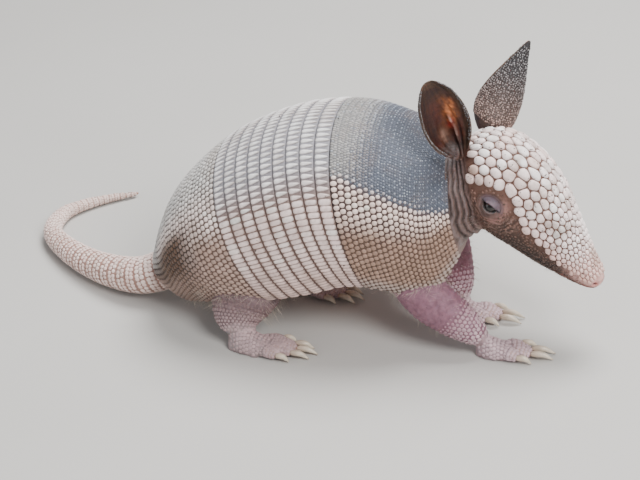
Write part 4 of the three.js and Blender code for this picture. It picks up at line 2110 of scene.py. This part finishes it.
    @staticmethod
    def ear_colours(ear: Ear, points: Array, tint: Array) -> Array:
        """Tints of one ear, with painted light and shade in its cup, laid over those of the rest.

        Args:
            ear: the ear.
            points: places on the skin.
            tint: tints of the rest.

        Returns:
            A colour for each point.
        """
        height, across, proud = ear.share(points)
        wide = np.abs(across)
        on_ear = smooth(0.02, 0.12, height) * (height < 1.1) * smooth(3.2, 2.4, np.abs(proud))
        on_ear = on_ear * (wide < 1.35)
        edge = np.maximum(smooth(0.72, 0.98, wide), smooth(0.86, 0.98, height))
        drift = 0.42 + 0.1 * np.sin(13 * height) + 0.05 * np.sin(31 * height + 1)
        # Painted light: an orange glow where lamp light shines through the thin ear, with fine streaks.
        painted_backlight = hump(across, drift, 0.22) * hump(height, 0.52, 0.16)
        painted_backlight = painted_backlight * (0.7 + 0.3 * np.sin(47 * across + 19 * height + 3 * np.sin(23 * height)))
        inside = washed(
            srgb(80, 40, 17),
            ((218, 136, 84), painted_backlight),
            # Painted light on the pale lower part of the cup, which faces up.
            ((150, 122, 112), hump(across, -0.1, 0.16) * hump(height, 0.26, 0.08)),
            ((160, 26, 24), hump(height, 0.36, 0.07) * hump(across, drift, 0.1)),
            # Painted shade down at the root, in the ear's opening.
            ((40, 26, 20), hump(height, 0.08, 0.06) * 0.9),
            # Painted shade on the left wall of the cup.
            ((52, 34, 24), smooth(0.0, -0.55, across) * 0.75 * smooth(0.2, 0.4, height)),
            # Painted shade on the upper part of the cup, which faces down.
            ((60, 40, 28), smooth(0.62, 0.82, height) * 0.85),
            # Painted shadow of the rim just inside it.
            ((66, 48, 38), smooth(0.7, 0.86, wide) * 0.85),
            # A lighter rim: partly its paler edge, partly painted highlight.
            ((104, 84, 72), edge * 0.6),
        )
        vein, line = Ear.veins(height, across)
        inside = inside * (1 + 0.3 * vein + 0.18 * line)[:, None] * np.array([0.82, 0.74, 0.66])
        outside = washed(srgb(84, 66, 60), ((48, 44, 46), smooth(0.25, 0.8, height)))
        return blend(tint, blend(outside, inside, smooth(0.15, -0.15, proud)), on_ear)

    def fine_skin(self) -> Obj:
        """The smooth skin, with smaller faces on head, legs, eyes and nose.

        Returns:
            The skin with its ears.
        """
        obj = self.rough()
        mesh = obj.data
        self.relax(mesh, 4, 0.5)
        points = to_own(coords(mesh))
        neck = (NECK.locate(points, 60)[2] < 1.3) & (points[:, 0] > 60)
        wanted = (HEAD.locate(points, 120)[2] < 1.25) | neck
        for leg in LEGS:
            wanted |= (leg.limb.locate(points, 40)[2] < 1.4) & (points[:, 2] < 32)
            wanted |= leg.sole().locate(points, 30)[2] < 1.4
        self.refine(mesh, wanted)
        self.relax(mesh, 2, 0.5)
        points = to_own(coords(mesh))
        finer = (HEAD.locate(points, 120)[0] > 0.93) & (points[:, 0] > 120)
        for hand in Hand:
            finer |= size_of(points - eye_centre(hand)) < self.eye_room
        self.refine(mesh, finer)
        self.relax(mesh, 1)
        return self.with_ears(obj)

    def build(self) -> None:
        """Builds, models, paints and dresses the skin."""
        obj = self.fine_skin()
        mesh = obj.data
        points = self.wrinkle_legs(to_own(coords(mesh)), normals(mesh))
        points = self.form_head(points, normals(mesh))
        points = self.fold_neck(points, normals(mesh))
        for hand in Hand:
            points = self.open_eye(points, hand)
        points[:, 2] = np.maximum(points[:, 2], 0.0)
        set_coords(mesh, to_frame(points))
        paint(mesh, "tint", np.clip(self.colours(points), 0.01, 0.95))
        mesh.materials.clear()
        mesh.materials.append(SKIN.material())
        mesh.shade_smooth()
        face_out(obj)
        nodes = ["head", "neck", "trunk", "ear_right", "ear_left"]
        nodes += [f"tail_{n}" for n in range(1, 5)]
        nodes += [f"{part}_{leg.name}" for leg in LEGS for part in ("leg", "foot")]
        place_piece(obj, "body_skin", *nodes)
        places = [tuple(point) for point in coords(mesh)]
        self.tree = BVHTree.FromPolygons(places, [tuple(face.vertices) for face in mesh.polygons])

    def touch(self, points: Array) -> tuple:
        """The nearest places on the skin to points, and the normals there."""
        found = [self.tree.find_nearest(Vector(point)) for point in to_frame(points)]
        return to_own([place[:] for place, *_ in found]), np.array([normal[:] for _, normal, *_ in found])


# ---- the head shield
@dataclass
class HeadShield:
    """The many-sided plates over forehead and muzzle, each a closed dome on the skin.

    Each ring has its size and height as shares of the plate's, its dome value, which darkens the plate's
    foot with joint colour and painted shade, and its size on the OFBake map.
    """

    back_pitch: float = 4.9
    front_pitch: float = 2.5
    gap: float = 0.13
    height: float = 1.1
    rounds: int = 2
    pull: float = 0.55
    corners: int = 18
    row_step: float = 0.9
    column_step: float = 1.02
    shake: float = 0.36
    corner_cut: float = 0.22
    eye_room: float = 7.6
    ear_room: float = 1.3
    neck_room: float = 9.0
    rings: tuple = (
        (1.03, -1.0, 0.0, 0.93), (1.0, 0.0, 0.12, 0.84), (0.9, 0.55, 0.6, 0.75),
        (0.62, 0.9, 0.95, 0.52), (0.3, 1.0, 1.0, 0.25),
    )
    rng: np.random.Generator = field(default_factory=lambda: np.random.default_rng(23))

    def pitch(self, t: Array) -> Array:
        """The distance between plates at share t along the head."""
        return self.back_pitch + (self.front_pitch - self.back_pitch) * smooth(0.25, 0.85, t)

    @staticmethod
    def edge(t: Array) -> Array:
        """How far down from the ridge the shield reaches, as a turn."""
        rows = (1.8, 1.78, 1.5, 1.2, 1.26, 1.4, 1.5, 1.6, 1.68, 1.6, 1.5)
        return spline(rows, np.clip(t, 0, 1) * (len(rows) - 1))

    def steps(self) -> tuple:
        """Shares along the head, and how many plates lie behind each."""
        fine = np.linspace(-0.1, 1.1, 400)
        return fine, running(np.diff(fine) * HEAD.length() / self.pitch(fine[1:]))

    def from_flat(self, flat: Array) -> tuple:
        """Lays a sheet whose plates are one apart over the head.

        Args:
            flat: places in the sheet.

        Returns:
            Shares along the head and turns about it.
        """
        fine, steps = self.steps()
        t = np.interp(flat[..., 0], steps, fine)
        radius = (HEAD.read(HEAD.side, t) + HEAD.read(HEAD.over, t)) / 2
        return t, math.pi / 2 + flat[..., 1] * self.pitch(t) / radius

    def seeds(self) -> Array:
        """Starting places of the plates and of the margin round them.

        Returns:
            Places in the sheet.
        """
        low, high = np.interp((-0.02, 1.02), *self.steps())
        out = []
        for number, x in enumerate(np.arange(low - 1.5, high + 1.5, self.row_step)):
            across = np.arange(-14, 15) * self.column_step + (0.5 if number % 2 else 0)
            out.append(np.stack([np.full(len(across), x), across], 1))
        points = np.concatenate(out)
        return points + self.rng.uniform(-self.shake, self.shake, points.shape)

    @staticmethod
    def cell(points: Array, index: int) -> Array:
        """The polygon of places nearer to one point than to any other.

        Args:
            points: all points.
            index: number of the one.

        Returns:
            The corners.
        """
        centre = points[index]
        polygon = [centre + np.array(c) * 1.6 for c in ((-1, -1), (1, -1), (1, 1), (-1, 1))]
        for other in np.argsort(((points - centre) ** 2).sum(1))[1:15]:
            middle = (centre + points[other]) / 2
            way = points[other] - centre
            cut = []
            for here, there in zip(polygon, polygon[1:] + polygon[:1]):
                a, b = (here - middle) @ way, (there - middle) @ way
                if a <= 0:
                    cut.append(here)
                if (a < 0) != (b < 0) and a != b:
                    cut.append(here + (there - here) * (a / (a - b)))
            polygon = cut
        return np.array(polygon)

    def outline(self, polygon: Array, inset: float) -> Array:
        """A cell's outline, drawn in by the gap, rounded and evenly stepped.

        Args:
            polygon: the cell's corners.
            inset: how far it is drawn in, as a share.

        Returns:
            The outline's corners.
        """
        centre = polygon.mean(0)
        ring = centre + (polygon - centre) * (1 - inset)
        near, far = self.corner_cut, 1 - self.corner_cut
        for _ in range(2):
            after = np.roll(ring, -1, 0)
            ring = np.stack([ring * far + after * near, ring * near + after * far], 1).reshape(-1, 2)
        closed = np.concatenate([ring, ring[:1]])
        steps = running(paces(closed))
        at = np.linspace(0, steps[-1], self.corners, endpoint=False)
        return np.stack([np.interp(at, steps, closed[:, k]) for k in (0, 1)], 1)

    def kept(self, t: Array, turn: Array, spot: Array, skin: Skin) -> Array:
        """Which plates lie on the shield, clear of eyes, ears and neck.

        Args:
            t: their shares along the head.
            turn: their turns about it.
            spot: their places under the skin.
            skin: the skin.

        Returns:
            Whether each is kept.
        """
        keep = (np.abs(turn - math.pi / 2) < self.edge(t)) & (t > -0.01) & (t < 0.945)
        place = HEAD.surface(t, turn)
        for hand in Hand:
            keep &= size_of(place - eye_centre(hand)) > self.eye_room
        for ear in EARS:
            root, rise, _, _ = ear.axes()
            line = root + np.outer(np.linspace(-0.15, 0.35, 6), rise)
            keep &= size_of(place[:, None] - line[None]).min(1) > self.ear_room * ear.half[0]
        keep &= size_of(skin.touch(spot)[0] - spot) < 1.3
        return keep & ((past_shell(spot) > self.neck_room) | (spot[:, 2] > 93))

    def build(self, skin: Skin) -> None:
        """Builds and dresses the shield.

        Args:
            skin: the skin on which it lies.
        """
        def under(t: Array, turn: Array) -> Array:
            """Places on the head under its skin's coat."""
            return HEAD.surface(t, turn, HEAD.fullness(t), -skin.coat)

        points = self.seeds()
        for _ in range(self.rounds):
            middles = np.array([self.cell(points, i).mean(0) for i in range(len(points))])
            points = points + self.pull * (middles - points)
        t, turn = self.from_flat(points)
        keep = self.kept(t, turn, under(t, turn), skin)
        n = self.corners
        size, rise, light, flat_size = np.array(self.rings).T
        top = len(size) * n
        stencil = [list(range(n))[::-1], *ring_faces(0, len(size), n, False)]
        k = np.arange(n)
        stencil += np.stack([top - n + k, top - n + (k + 1) % n, np.full(n, top)], 1).tolist()
        sheet, lift, dome, tint, corner_uv, faces = [], [], [], [], [], []
        low, high = points[keep].min(0) - 1, points[keep].max(0) + 1
        for index in np.flatnonzero(keep):
            pitch = self.pitch(t[index])
            ring = self.outline(self.cell(points, index), 1.7 * self.gap / pitch)
            spot = under(*self.from_flat(ring))
            if size_of(skin.touch(spot)[0] - spot).max() > 1.5:
                continue
            centre = ring.mean(0)
            height = self.height * (0.55 + 0.45 * pitch / self.back_pitch) * self.rng.uniform(0.85, 1.1)
            base = len(sheet) * (top + 1)
            rows, spread = (
                np.concatenate([*(centre + (ring - centre) * share for share in shares), centre[None]])
                for shares in (size, flat_size)
            )
            sheet.append(rows)
            lift.append([*np.repeat(rise * height, n), height])
            dome.append([*np.repeat(light, n), 1.0])
            tint.append(np.tile(self.colour(t[index], turn[index]), (top + 1, 1)))
            for number, face in enumerate(stencil):
                faces.append([i + base for i in face])
                place = spread[face] if number else centre + (ring[face] - centre) * 0.02
                corner_uv.append((place - low) / (high - low))
        place, normal = skin.touch(under(*self.from_flat(np.concatenate(sheet))))
        obj = new_object("head_shield", to_frame(place + normal * np.concatenate(lift)[:, None]), faces)
        paint(obj.data, "tint", np.concatenate(tint))
        paint(obj.data, "dome", np.concatenate(dome))
        set_bake_map(obj.data, np.concatenate(corner_uv))
        obj.data.materials.append(HEAD_SCUTE.material())
        place_piece(obj, "head_skin")
        log.info("head_shield: %d plates, %d faces", len(sheet), len(faces))

    def colour(self, t: float, turn: float) -> Array:
        """The tint of one plate.

        Args:
            t: its share along the head.
            turn: its turn about it.

        Returns:
            The colour.
        """
        low = math.sin(turn)
        stain = self.rng.random() ** 3 * smooth(0.75, 0.1, t)
        base = washed(
            srgb(236, 204, 197),
            # Painted highlight: plates lighter towards the top of the head.
            ((255, 239, 237), smooth(0.0, 0.7, low)),
            ((222, 176, 162), smooth(0.7, 0.95, t) * 0.75),
            ((196, 150, 136), smooth(0.25, -0.35, low) * 0.7),
            ((196, 156, 138), 0.7 * stain),
        )
        return np.clip(base * self.rng.normal(1, 0.05), 0.02, 0.96)


# ---- what covers the skin
@dataclass
class Coat:
    """Tail scutes, leg scales, ear pebbles and hairs, all seated on the skin."""

    skin: Skin
    tail_pitch: float = 2.45
    fore_pitch: float = 2.1
    hind_pitch: float = 2.1 * 0.78
    foot_pitch: float = 1.9
    toe_pitch: float = 1.7
    ear_rows: int = 40
    ear_pitch: float = 1.05
    eye_room: float = 6.6
    hem: float = 0.985
    hair_root: float = 3.0
    rng: np.random.Generator = field(default_factory=lambda: np.random.default_rng(31))

    @staticmethod
    def spread(count: int) -> Array:
        """Even places over the OFBake map, one for each copy."""
        side = math.ceil(math.sqrt(count))
        return 0.01 + 0.98 * (np.stack(np.divmod(np.arange(count), side)[::-1], 1) + 0.5) / side

    def seat(
        self, points: Array, lie: Array, length: Array, width: Array, height: "Array | float", tint: Array,
        patch: "Array | None" = None,
    ) -> Seats:
        """Seats on the skin nearest to points.

        Args:
            points: places near the skin.
            lie: the way in which local X points.
            length: half lengths along it, in millimetres.
            width: half widths, in millimetres.
            height: heights, in millimetres.
            tint: colours.
            patch: places on the OFBake map, or none for even ones.

        Returns:
            The seats.
        """
        place, normal = self.skin.touch(points)
        size = np.stack(np.broadcast_arrays(length, width, height), 1) * MM
        patch = self.spread(len(place)) if patch is None else np.clip(patch, 0.01, 0.99)
        return Seats(to_frame(place), euler(lie, normal), size, tint, patch)

    def tail(self) -> None:
        """Rings of scutes round the tail, each of two rows."""
        length = TAIL.length()
        parts, x = [], 3.0
        while x < length - 2:
            odd = len(parts) % 2
            radius = float(TAIL.read(TAIL.side, x / length))
            pitch = self.tail_pitch * (0.5 + 0.5 * radius / 10)
            count = max(8, int(round(2 * math.pi * radius / (pitch * 0.96))))
            turn = 2 * np.pi * (np.arange(count) + 0.5 * odd) / count
            turn = turn + self.rng.normal(0, 0.02, count)
            share = np.full(count, x / length)
            tone = washed(
                srgb(248, 228, 220),
                ((238, 210, 202), self.rng.random(count)),
                ((170, 146, 134), smooth(0.6, 1.0, share) * 0.35),
                ((168, 138, 124), smooth(-0.4, -0.9, np.sin(turn)) * 0.5),
            )
            patch = 0.02 + 0.96 * np.stack([share, turn / (2 * np.pi) % 1], 1)
            place = TAIL.surface(share, turn, 1.0, -self.skin.coat)
            half, width = np.full(count, pitch * (0.5 if odd else 0.52)), math.pi * radius / count * 0.92
            height = 0.34 if odd else 0.42
            parts.append(self.seat(place, -TAIL.frames(share)[1], half, width, height, tone, patch))
            x += pitch * (1.22 if odd else 0.92)
        TREE.run("tail_scutes", Seats.join(parts), ROUND_BEAD, TAIL_SCUTE, "tail_skin", 0.06)

    def limb_scales(
        self, limb: Limb, pitch: float, start: float, stop: float, low: Array, high: Array, name: str
    ) -> Seats:
        """Scales over part of a limb, smaller where they begin.

        Args:
            limb: the limb.
            pitch: distance between neighbours, in millimetres.
            start: share of the limb where they begin.
            stop: share where they end.
            low: colour where they begin.
            high: colour where they end.
            name: seeds the shift of the rows.

        Returns:
            The seats.
        """
        parts = []
        rows = int((stop - start) * limb.length() / (pitch * 0.86))
        shift = (sum(map(ord, name)) % 97) / 97
        for row in range(rows):
            where = (row + 0.5) / rows
            t = start + (stop - start) * (row + 0.5) / rows
            close = max(math.sin(math.pi * min(max(t, 0.02), 0.98)) ** limb.blunt, 0.3)
            around = math.pi * float(limb.read(limb.side, t) + limb.read(limb.over, t)) * close
            count = max(5, int(round(around / pitch)))
            turn = 2 * np.pi * (np.arange(count) + 0.5 * (row % 2) + shift) / count
            share = np.full(count, t)
            tone = blend(low, high, where) * (1 + self.rng.normal(0, 0.07, (count, 1)))
            half = around / count / 2 * (0.45 + 0.55 * min(1, where * 4))
            half = half * self.rng.uniform(0.9, 1.08, count)
            place, ahead = limb.surface(share, turn, close), limb.frames(share)[1]
            parts.append(self.seat(place, ahead, half * 0.98, half * 0.92, 0.3, np.clip(tone, 0.02, 0.9)))
        return Seats.join(parts)

    def legs(self) -> None:
        """Scales on shanks, feet and toes."""
        for leg in LEGS:
            if leg.hind:
                skin, pale, pitch, start = srgb(100, 78, 78), srgb(186, 160, 162), self.hind_pitch, 0.56
            else:
                skin, pale, pitch, start = srgb(160, 122, 134), srgb(202, 176, 182), self.fore_pitch, 0.6
            parts = [
                self.limb_scales(leg.limb, pitch, start, 0.95, skin, pale, leg.name),
                self.limb_scales(leg.sole(), self.foot_pitch, 0.12, 0.95, pale, pale, leg.name + "sole"),
            ]
            for left, reach, _ in leg.foot.toes:
                toe, name = leg.toe(left, reach), f"{leg.name}{left}"
                parts.append(self.limb_scales(toe, self.toe_pitch, 0.25, 0.9, pale, pale, name))
            seats = Seats.join(parts)
            seats = seats.kept(to_own(seats.place)[:, 2] > 1.2)
            seats.patch[:] = self.spread(len(seats.patch))
            TREE.run("scales_" + leg.name, seats, ROUND_BEAD, LEG_SCALE, "leg_skin", 0.08)

    def ears(self) -> None:
        """Fine pebbles over the backs and rims of the ears."""
        for ear in EARS:
            _, rise, out, _ = ear.axes()
            points, shares = [], []
            for row in range(self.ear_rows):
                height = 0.17 + 0.79 * row / self.ear_rows
                bend, middle, sunk = ear.cup(height, ear.closing(height))
                radius = middle + 0.7
                count = max(3, int(2 * bend * radius / self.ear_pitch))
                angle = bend * (np.linspace(-1, 1, count) + 0.5 * (row % 2) * 2 / count)
                angle = angle[np.abs(angle) < bend]
                lip = np.array([-0.97, -0.9, 0.9, 0.97]) * bend
                points.append(ear.spot(height, angle, radius, sunk))
                points.append(ear.spot(height, lip, middle - 0.6, sunk) + out * 1.2)
                shares += [height] * len(angle) + [0.8 + 0.2 * height] * len(lip)
            place, height = np.concatenate(points), np.array(shares)
            place = place + self.rng.normal(0, 0.2, place.shape)
            tone = washed(srgb(178, 148, 138), ((158, 154, 156), smooth(0.15, 0.75, height)))
            tone = tone * self.rng.uniform(0.2, 0.95, (len(tone), 1))
            size = 0.47 * (1 - 0.2 * height)
            seats = self.seat(place, rise, size, size * 0.9, 0.3, tone)
            TREE.run("pebbles_ear_" + ear.hand.value, seats, PEBBLE_BEAD, PEBBLE, "ear_skin", 0.15)

    def granules(self) -> None:
        """Small dark grains over the cheeks and under the muzzle."""
        parts, x = [], 0.1
        while x < 0.93:
            pitch = 1.75 - 0.7 * x
            radius = float(HEAD.read(HEAD.side, x) + HEAD.read(HEAD.under, x)) / 2
            count = int(2 * math.pi * radius / pitch)
            turn = -math.pi / 2 + 2 * np.pi * (np.arange(count) + self.rng.random()) / count
            parts.append(np.stack([np.full(count, x), turn, np.full(count, pitch)]))
            x += 0.88 * pitch / HEAD.length()
        t, turn, pitch = np.concatenate(parts, 1)
        t = t + self.rng.normal(0, 0.003, len(t))
        turn = turn + self.rng.normal(0, 0.02, len(t))
        down = np.abs((turn - math.pi / 2 + math.pi) % (2 * math.pi) - math.pi)
        place = HEAD.surface(t, turn, HEAD.fullness(t))
        keep = (down > HeadShield.edge(t) + 0.02) & (self.rng.random(len(t)) < 0.85)
        keep &= Skin.neck_folds(place)[1] < 0.25
        for hand in Hand:
            keep &= size_of(place - eye_centre(hand)) > self.eye_room
        t, turn, pitch, place = t[keep], turn[keep], pitch[keep], place[keep]
        low = np.sin(turn)
        tone = washed(
            srgb(136, 101, 88),
            ((98, 73, 62), smooth(0.2, -0.5, low) * smooth(0.2, 0.5, t)),
            ((214, 168, 158), smooth(0.78, 0.92, t) * smooth(-0.8, -0.3, low)),
        )
        tone = tone * self.rng.uniform(0.3, 1.05, (len(tone), 1))
        size = pitch * self.rng.uniform(0.3, 0.46, len(t))
        seats = self.seat(place, HEAD.frames(t)[1], size, size * 0.9, size * 0.42, tone)
        TREE.run("face_granules", seats, PEBBLE_BEAD, PEBBLE, "head_skin", 0.1)

    def hairs(self) -> None:
        """Sparse pale hairs: under the hem, on belly, thighs, cheeks, throat and shell."""
        rng = self.rng
        groups = []
        for side in (-1.0, 1.0):
            for low, high, count, lie, span in (
                (0.6, 9.6, 260, (-0.7, 0.3, -0.6), (3, 7)), (1.4, 3.4, 150, (0.5, 0.4, -0.8), (4, 8)),
            ):
                hem = SHELL.under(rng.uniform(low, high, count), side * self.hem, self.hair_root)
                lie = np.array(lie) * [1, side, 1]
                groups.append((hem - [0, 0, 1.5], lie, rng.uniform(*span, count)))
        back, wide = rng.uniform(0.4, 9.4, 500), rng.uniform(-0.6, 0.6, 500)
        forward, leftward = SHELL.slopes(back, wide)
        on_shell = rng.uniform(2.6, 4.4, 500)
        s, across = rng.uniform(1, 9.5, 420), rng.uniform(-0.95, 0.95, 420)
        belly = SHELL.under(s, 1.0, self.hair_root) * np.stack([np.ones(420), across, np.ones(420)], 1)
        belly[:, 2] -= self.skin.belly_drop * (1 - across**2)
        groups.append((belly, np.array([-0.8, 0.1, -0.5]), rng.uniform(4, 9, 420)))
        for leg in LEGS:
            count, longest = (240, 8) if leg.hind else (110, 5)
            t = rng.uniform(0.1, 0.75, count)
            top = rng.random(count) < 0.5
            front = np.where(top, *(rng.normal(sign * math.pi / 2, 0.5, count) for sign in (1, -1)))
            turn = np.where(rng.random(count) < 0.75, front, rng.uniform(0, 2 * np.pi, count))
            _, ahead, up, _ = leg.limb.frames(t)
            sign = np.where(np.sin(turn) > 0, 1.0, -1.0)[:, None]
            lie = ahead * 0.8 + up * sign * 0.9
            groups.append((leg.limb.surface(t, turn), lie, rng.uniform(3, longest, count)))
        t, turn = rng.uniform(0.15, 0.85, 420), rng.uniform(-2.6, -0.5, 420)
        lie = -HEAD.frames(t)[1] + [0, 0, -0.35]
        groups.append((HEAD.surface(t, turn), lie, rng.uniform(1.6, 3.6, 420)))
        place, normal = self.skin.touch(np.concatenate([where for where, _, _ in groups]))
        lie = np.concatenate([np.broadcast_to(lie, where.shape) for where, lie, _ in groups])
        lie = np.concatenate([lie + rng.normal(0, 0.22, lie.shape), -unit(forward)])
        length = np.concatenate([*(length for _, _, length in groups), on_shell])
        place = np.concatenate([place, SHELL.under(back, wide, 0.9)])
        normal = np.concatenate([normal, unit(np.cross(forward, leftward)) * 0.55])
        stand = unit(normal * 0.75 + unit(lie) * 0.7)
        reach = np.where(stand[:, 2] < 0, place[:, 2] / np.maximum(-stand[:, 2], 0.01), 99)
        length = np.clip(length, 0.5, reach)
        thick = rng.uniform(0.07, 0.11, len(length))
        seats = Seats(
            to_frame(place - normal * 0.25), euler(unit(lie) - normal * 0.4, stand),
            np.stack([thick, thick, length], 1) * MM,
            np.tile(srgb(214, 200, 182), (len(length), 1)), self.spread(len(length)),
        )
        TREE.run("hairs", seats, HAIR_BEAD, HAIR, "body_skin", 0.15)


@dataclass
class Eyes:
    """The two eyeballs, each a ball with a clear bulge over a dark iris."""

    radius: float = EYE_RADIUS - 0.12
    bulge: float = 0.35
    rings: int = 40
    around: int = 48

    def build(self) -> None:
        """Builds and dresses both."""
        polar = np.pi * np.arange(1, self.rings) / self.rings
        turn = 2 * np.pi * np.arange(self.around)[:, None] / self.around
        radius = (self.radius - self.bulge * (1 - np.exp(-((polar / 0.75) ** 4))))[:, None, None]
        angle = np.concatenate([[0], np.repeat(polar, self.around), [np.pi]])
        iris, rim = smooth(0.35, 0.5, angle), smooth(1.1, 1.25, angle)
        tint = washed(srgb(12, 9, 9), ((34, 22, 17), iris), ((58, 48, 44), rim))
        polar = polar[:, None, None]
        for hand in Hand:
            _, _, axis, centre = eye_axes(hand)
            side = unit(np.cross(axis, [0, 0, 1.0]))
            ring = np.cos(turn) * side + np.sin(turn) * np.cross(side, axis)
            body = radius * (np.sin(polar) * ring + np.cos(polar) * axis)
            front, rear = self.radius * axis, (self.bulge - self.radius) * axis
            points = centre + np.concatenate([front[None], body.reshape(-1, 3), rear[None]])
            form = points, tube_faces(self.rings, self.around)
            dressed("eyeball_" + hand.value, form, tint, EYE, "eye", "eye_" + hand.value)


# ---- the stage
@dataclass(frozen=True)
class Studio:
    """Pale floor, soft lights and the camera.

    The distance is in metres, and the aim in the animal's own millimetres.
    """

    azimuth: float = math.radians(17)
    elevation: float = math.radians(30)
    roll: float = math.radians(-5)
    distance: float = 0.76
    lens: float = 92.0
    sensor: float = 36.0
    aim: tuple = (0.0, 0.0, 60.0)
    aim_pixel: tuple = (310.0, 195.0)
    width: int = 640
    height: int = 480
    floor_half: float = 4.0
    sky: tuple = (0.8, 0.82, 0.85, 1)
    sky_power: float = 0.42

    def camera(self) -> None:
        """Sets the camera."""
        sin_e, cos_e = math.sin(self.elevation), math.cos(self.elevation)
        level = Vector((math.cos(self.azimuth), math.sin(self.azimuth), 0.0))
        back = Vector((level.y * cos_e, -level.x * cos_e, sin_e))
        upright = back.cross(level)
        right = level * math.cos(self.roll) + upright * math.sin(self.roll)
        up = upright * math.cos(self.roll) - level * math.sin(self.roll)
        pixel = self.distance / (self.lens / self.sensor * self.width)
        across = (self.aim_pixel[0] - self.width / 2) * pixel
        above = (self.height / 2 - self.aim_pixel[1]) * pixel
        place = Vector(to_frame(self.aim)) + back * self.distance - right * across - up * above
        data = bpy.data.cameras.new("camera")
        data.lens = self.lens
        data.sensor_width = self.sensor
        data.clip_start = 0.01
        obj = show("camera", data)
        obj.matrix_world = Matrix.Translation(place) @ Matrix((right, up, back)).transposed().to_4x4()
        bpy.context.scene.camera = obj

    def floor(self) -> None:
        """Lays the floor."""
        corners = np.array([[-1, -1, 0], [1, -1, 0], [1, 1, 0], [-1, 1, 0]]) * self.floor_half
        obj = new_object("floor", corners, [[0, 1, 2, 3]], False)
        mat = bpy.data.materials.new("pale_floor")
        mat.use_nodes = True
        tree = mat.node_tree
        shader = tree.nodes["Principled BSDF"]
        shader.inputs["Roughness"].default_value = 0.8
        place = wire(tree, "ShaderNodeTexCoord", {}).outputs["Object"]
        colour = mixed(tree, (0.56, 0.55, 0.53), (0.5, 0.488, 0.466), noise(tree, place, 6.0, 3))
        tree.links.new(colour, shader.inputs["Base Color"])
        obj.data.materials.append(mat)

    @staticmethod
    def light(name: str, place: tuple, size: float, power: float, tone: tuple) -> None:
        """Hangs one soft light that looks at the animal.

        Args:
            name: name of the light.
            place: where it hangs, in metres.
            size: its width, in metres.
            power: its power, in watts.
            tone: its colour.
        """
        data = bpy.data.lights.new(name, "AREA")
        data.shape = "DISK"
        data.size = size
        data.energy = power
        data.color = tone
        spot = Vector(place)
        turn = spot.to_track_quat("Z", "Y").to_matrix().to_4x4()
        show(name, data).matrix_world = Matrix.Translation(spot) @ turn

    def build(self) -> None:
        """Sets the whole stage."""
        self.camera()
        self.floor()
        self.light("sky", (0.25, 0.3, 1.15), 0.7, 23, (1.0, 0.99, 0.98))
        self.light("key", (0.75, -0.7, 0.9), 0.5, 16, (1.0, 0.98, 0.96))
        self.light("fill", (-0.9, -0.6, 0.4), 0.9, 3.0, (0.95, 0.97, 1.0))
        world = bpy.data.worlds.new("studio")
        world.use_nodes = True
        light = world.node_tree.nodes["Background"].inputs
        light[0].default_value = self.sky
        light[1].default_value = self.sky_power
        bpy.context.scene.world = world


def main() -> None:
    """Builds the animal and its stage."""
    logging.basicConfig(level=logging.INFO, format="%(name)s %(message)s")
    Studio().build()
    Shell().build()
    skin = Skin()
    skin.build()
    HeadShield().build(skin)
    coat = Coat(skin)
    for cover in (coat.tail, coat.legs, coat.ears, coat.granules, coat.hairs):
        cover()
    Eyes().build()
    for leg in LEGS:
        leg.claws()


if __name__ == "__main__":
    main()
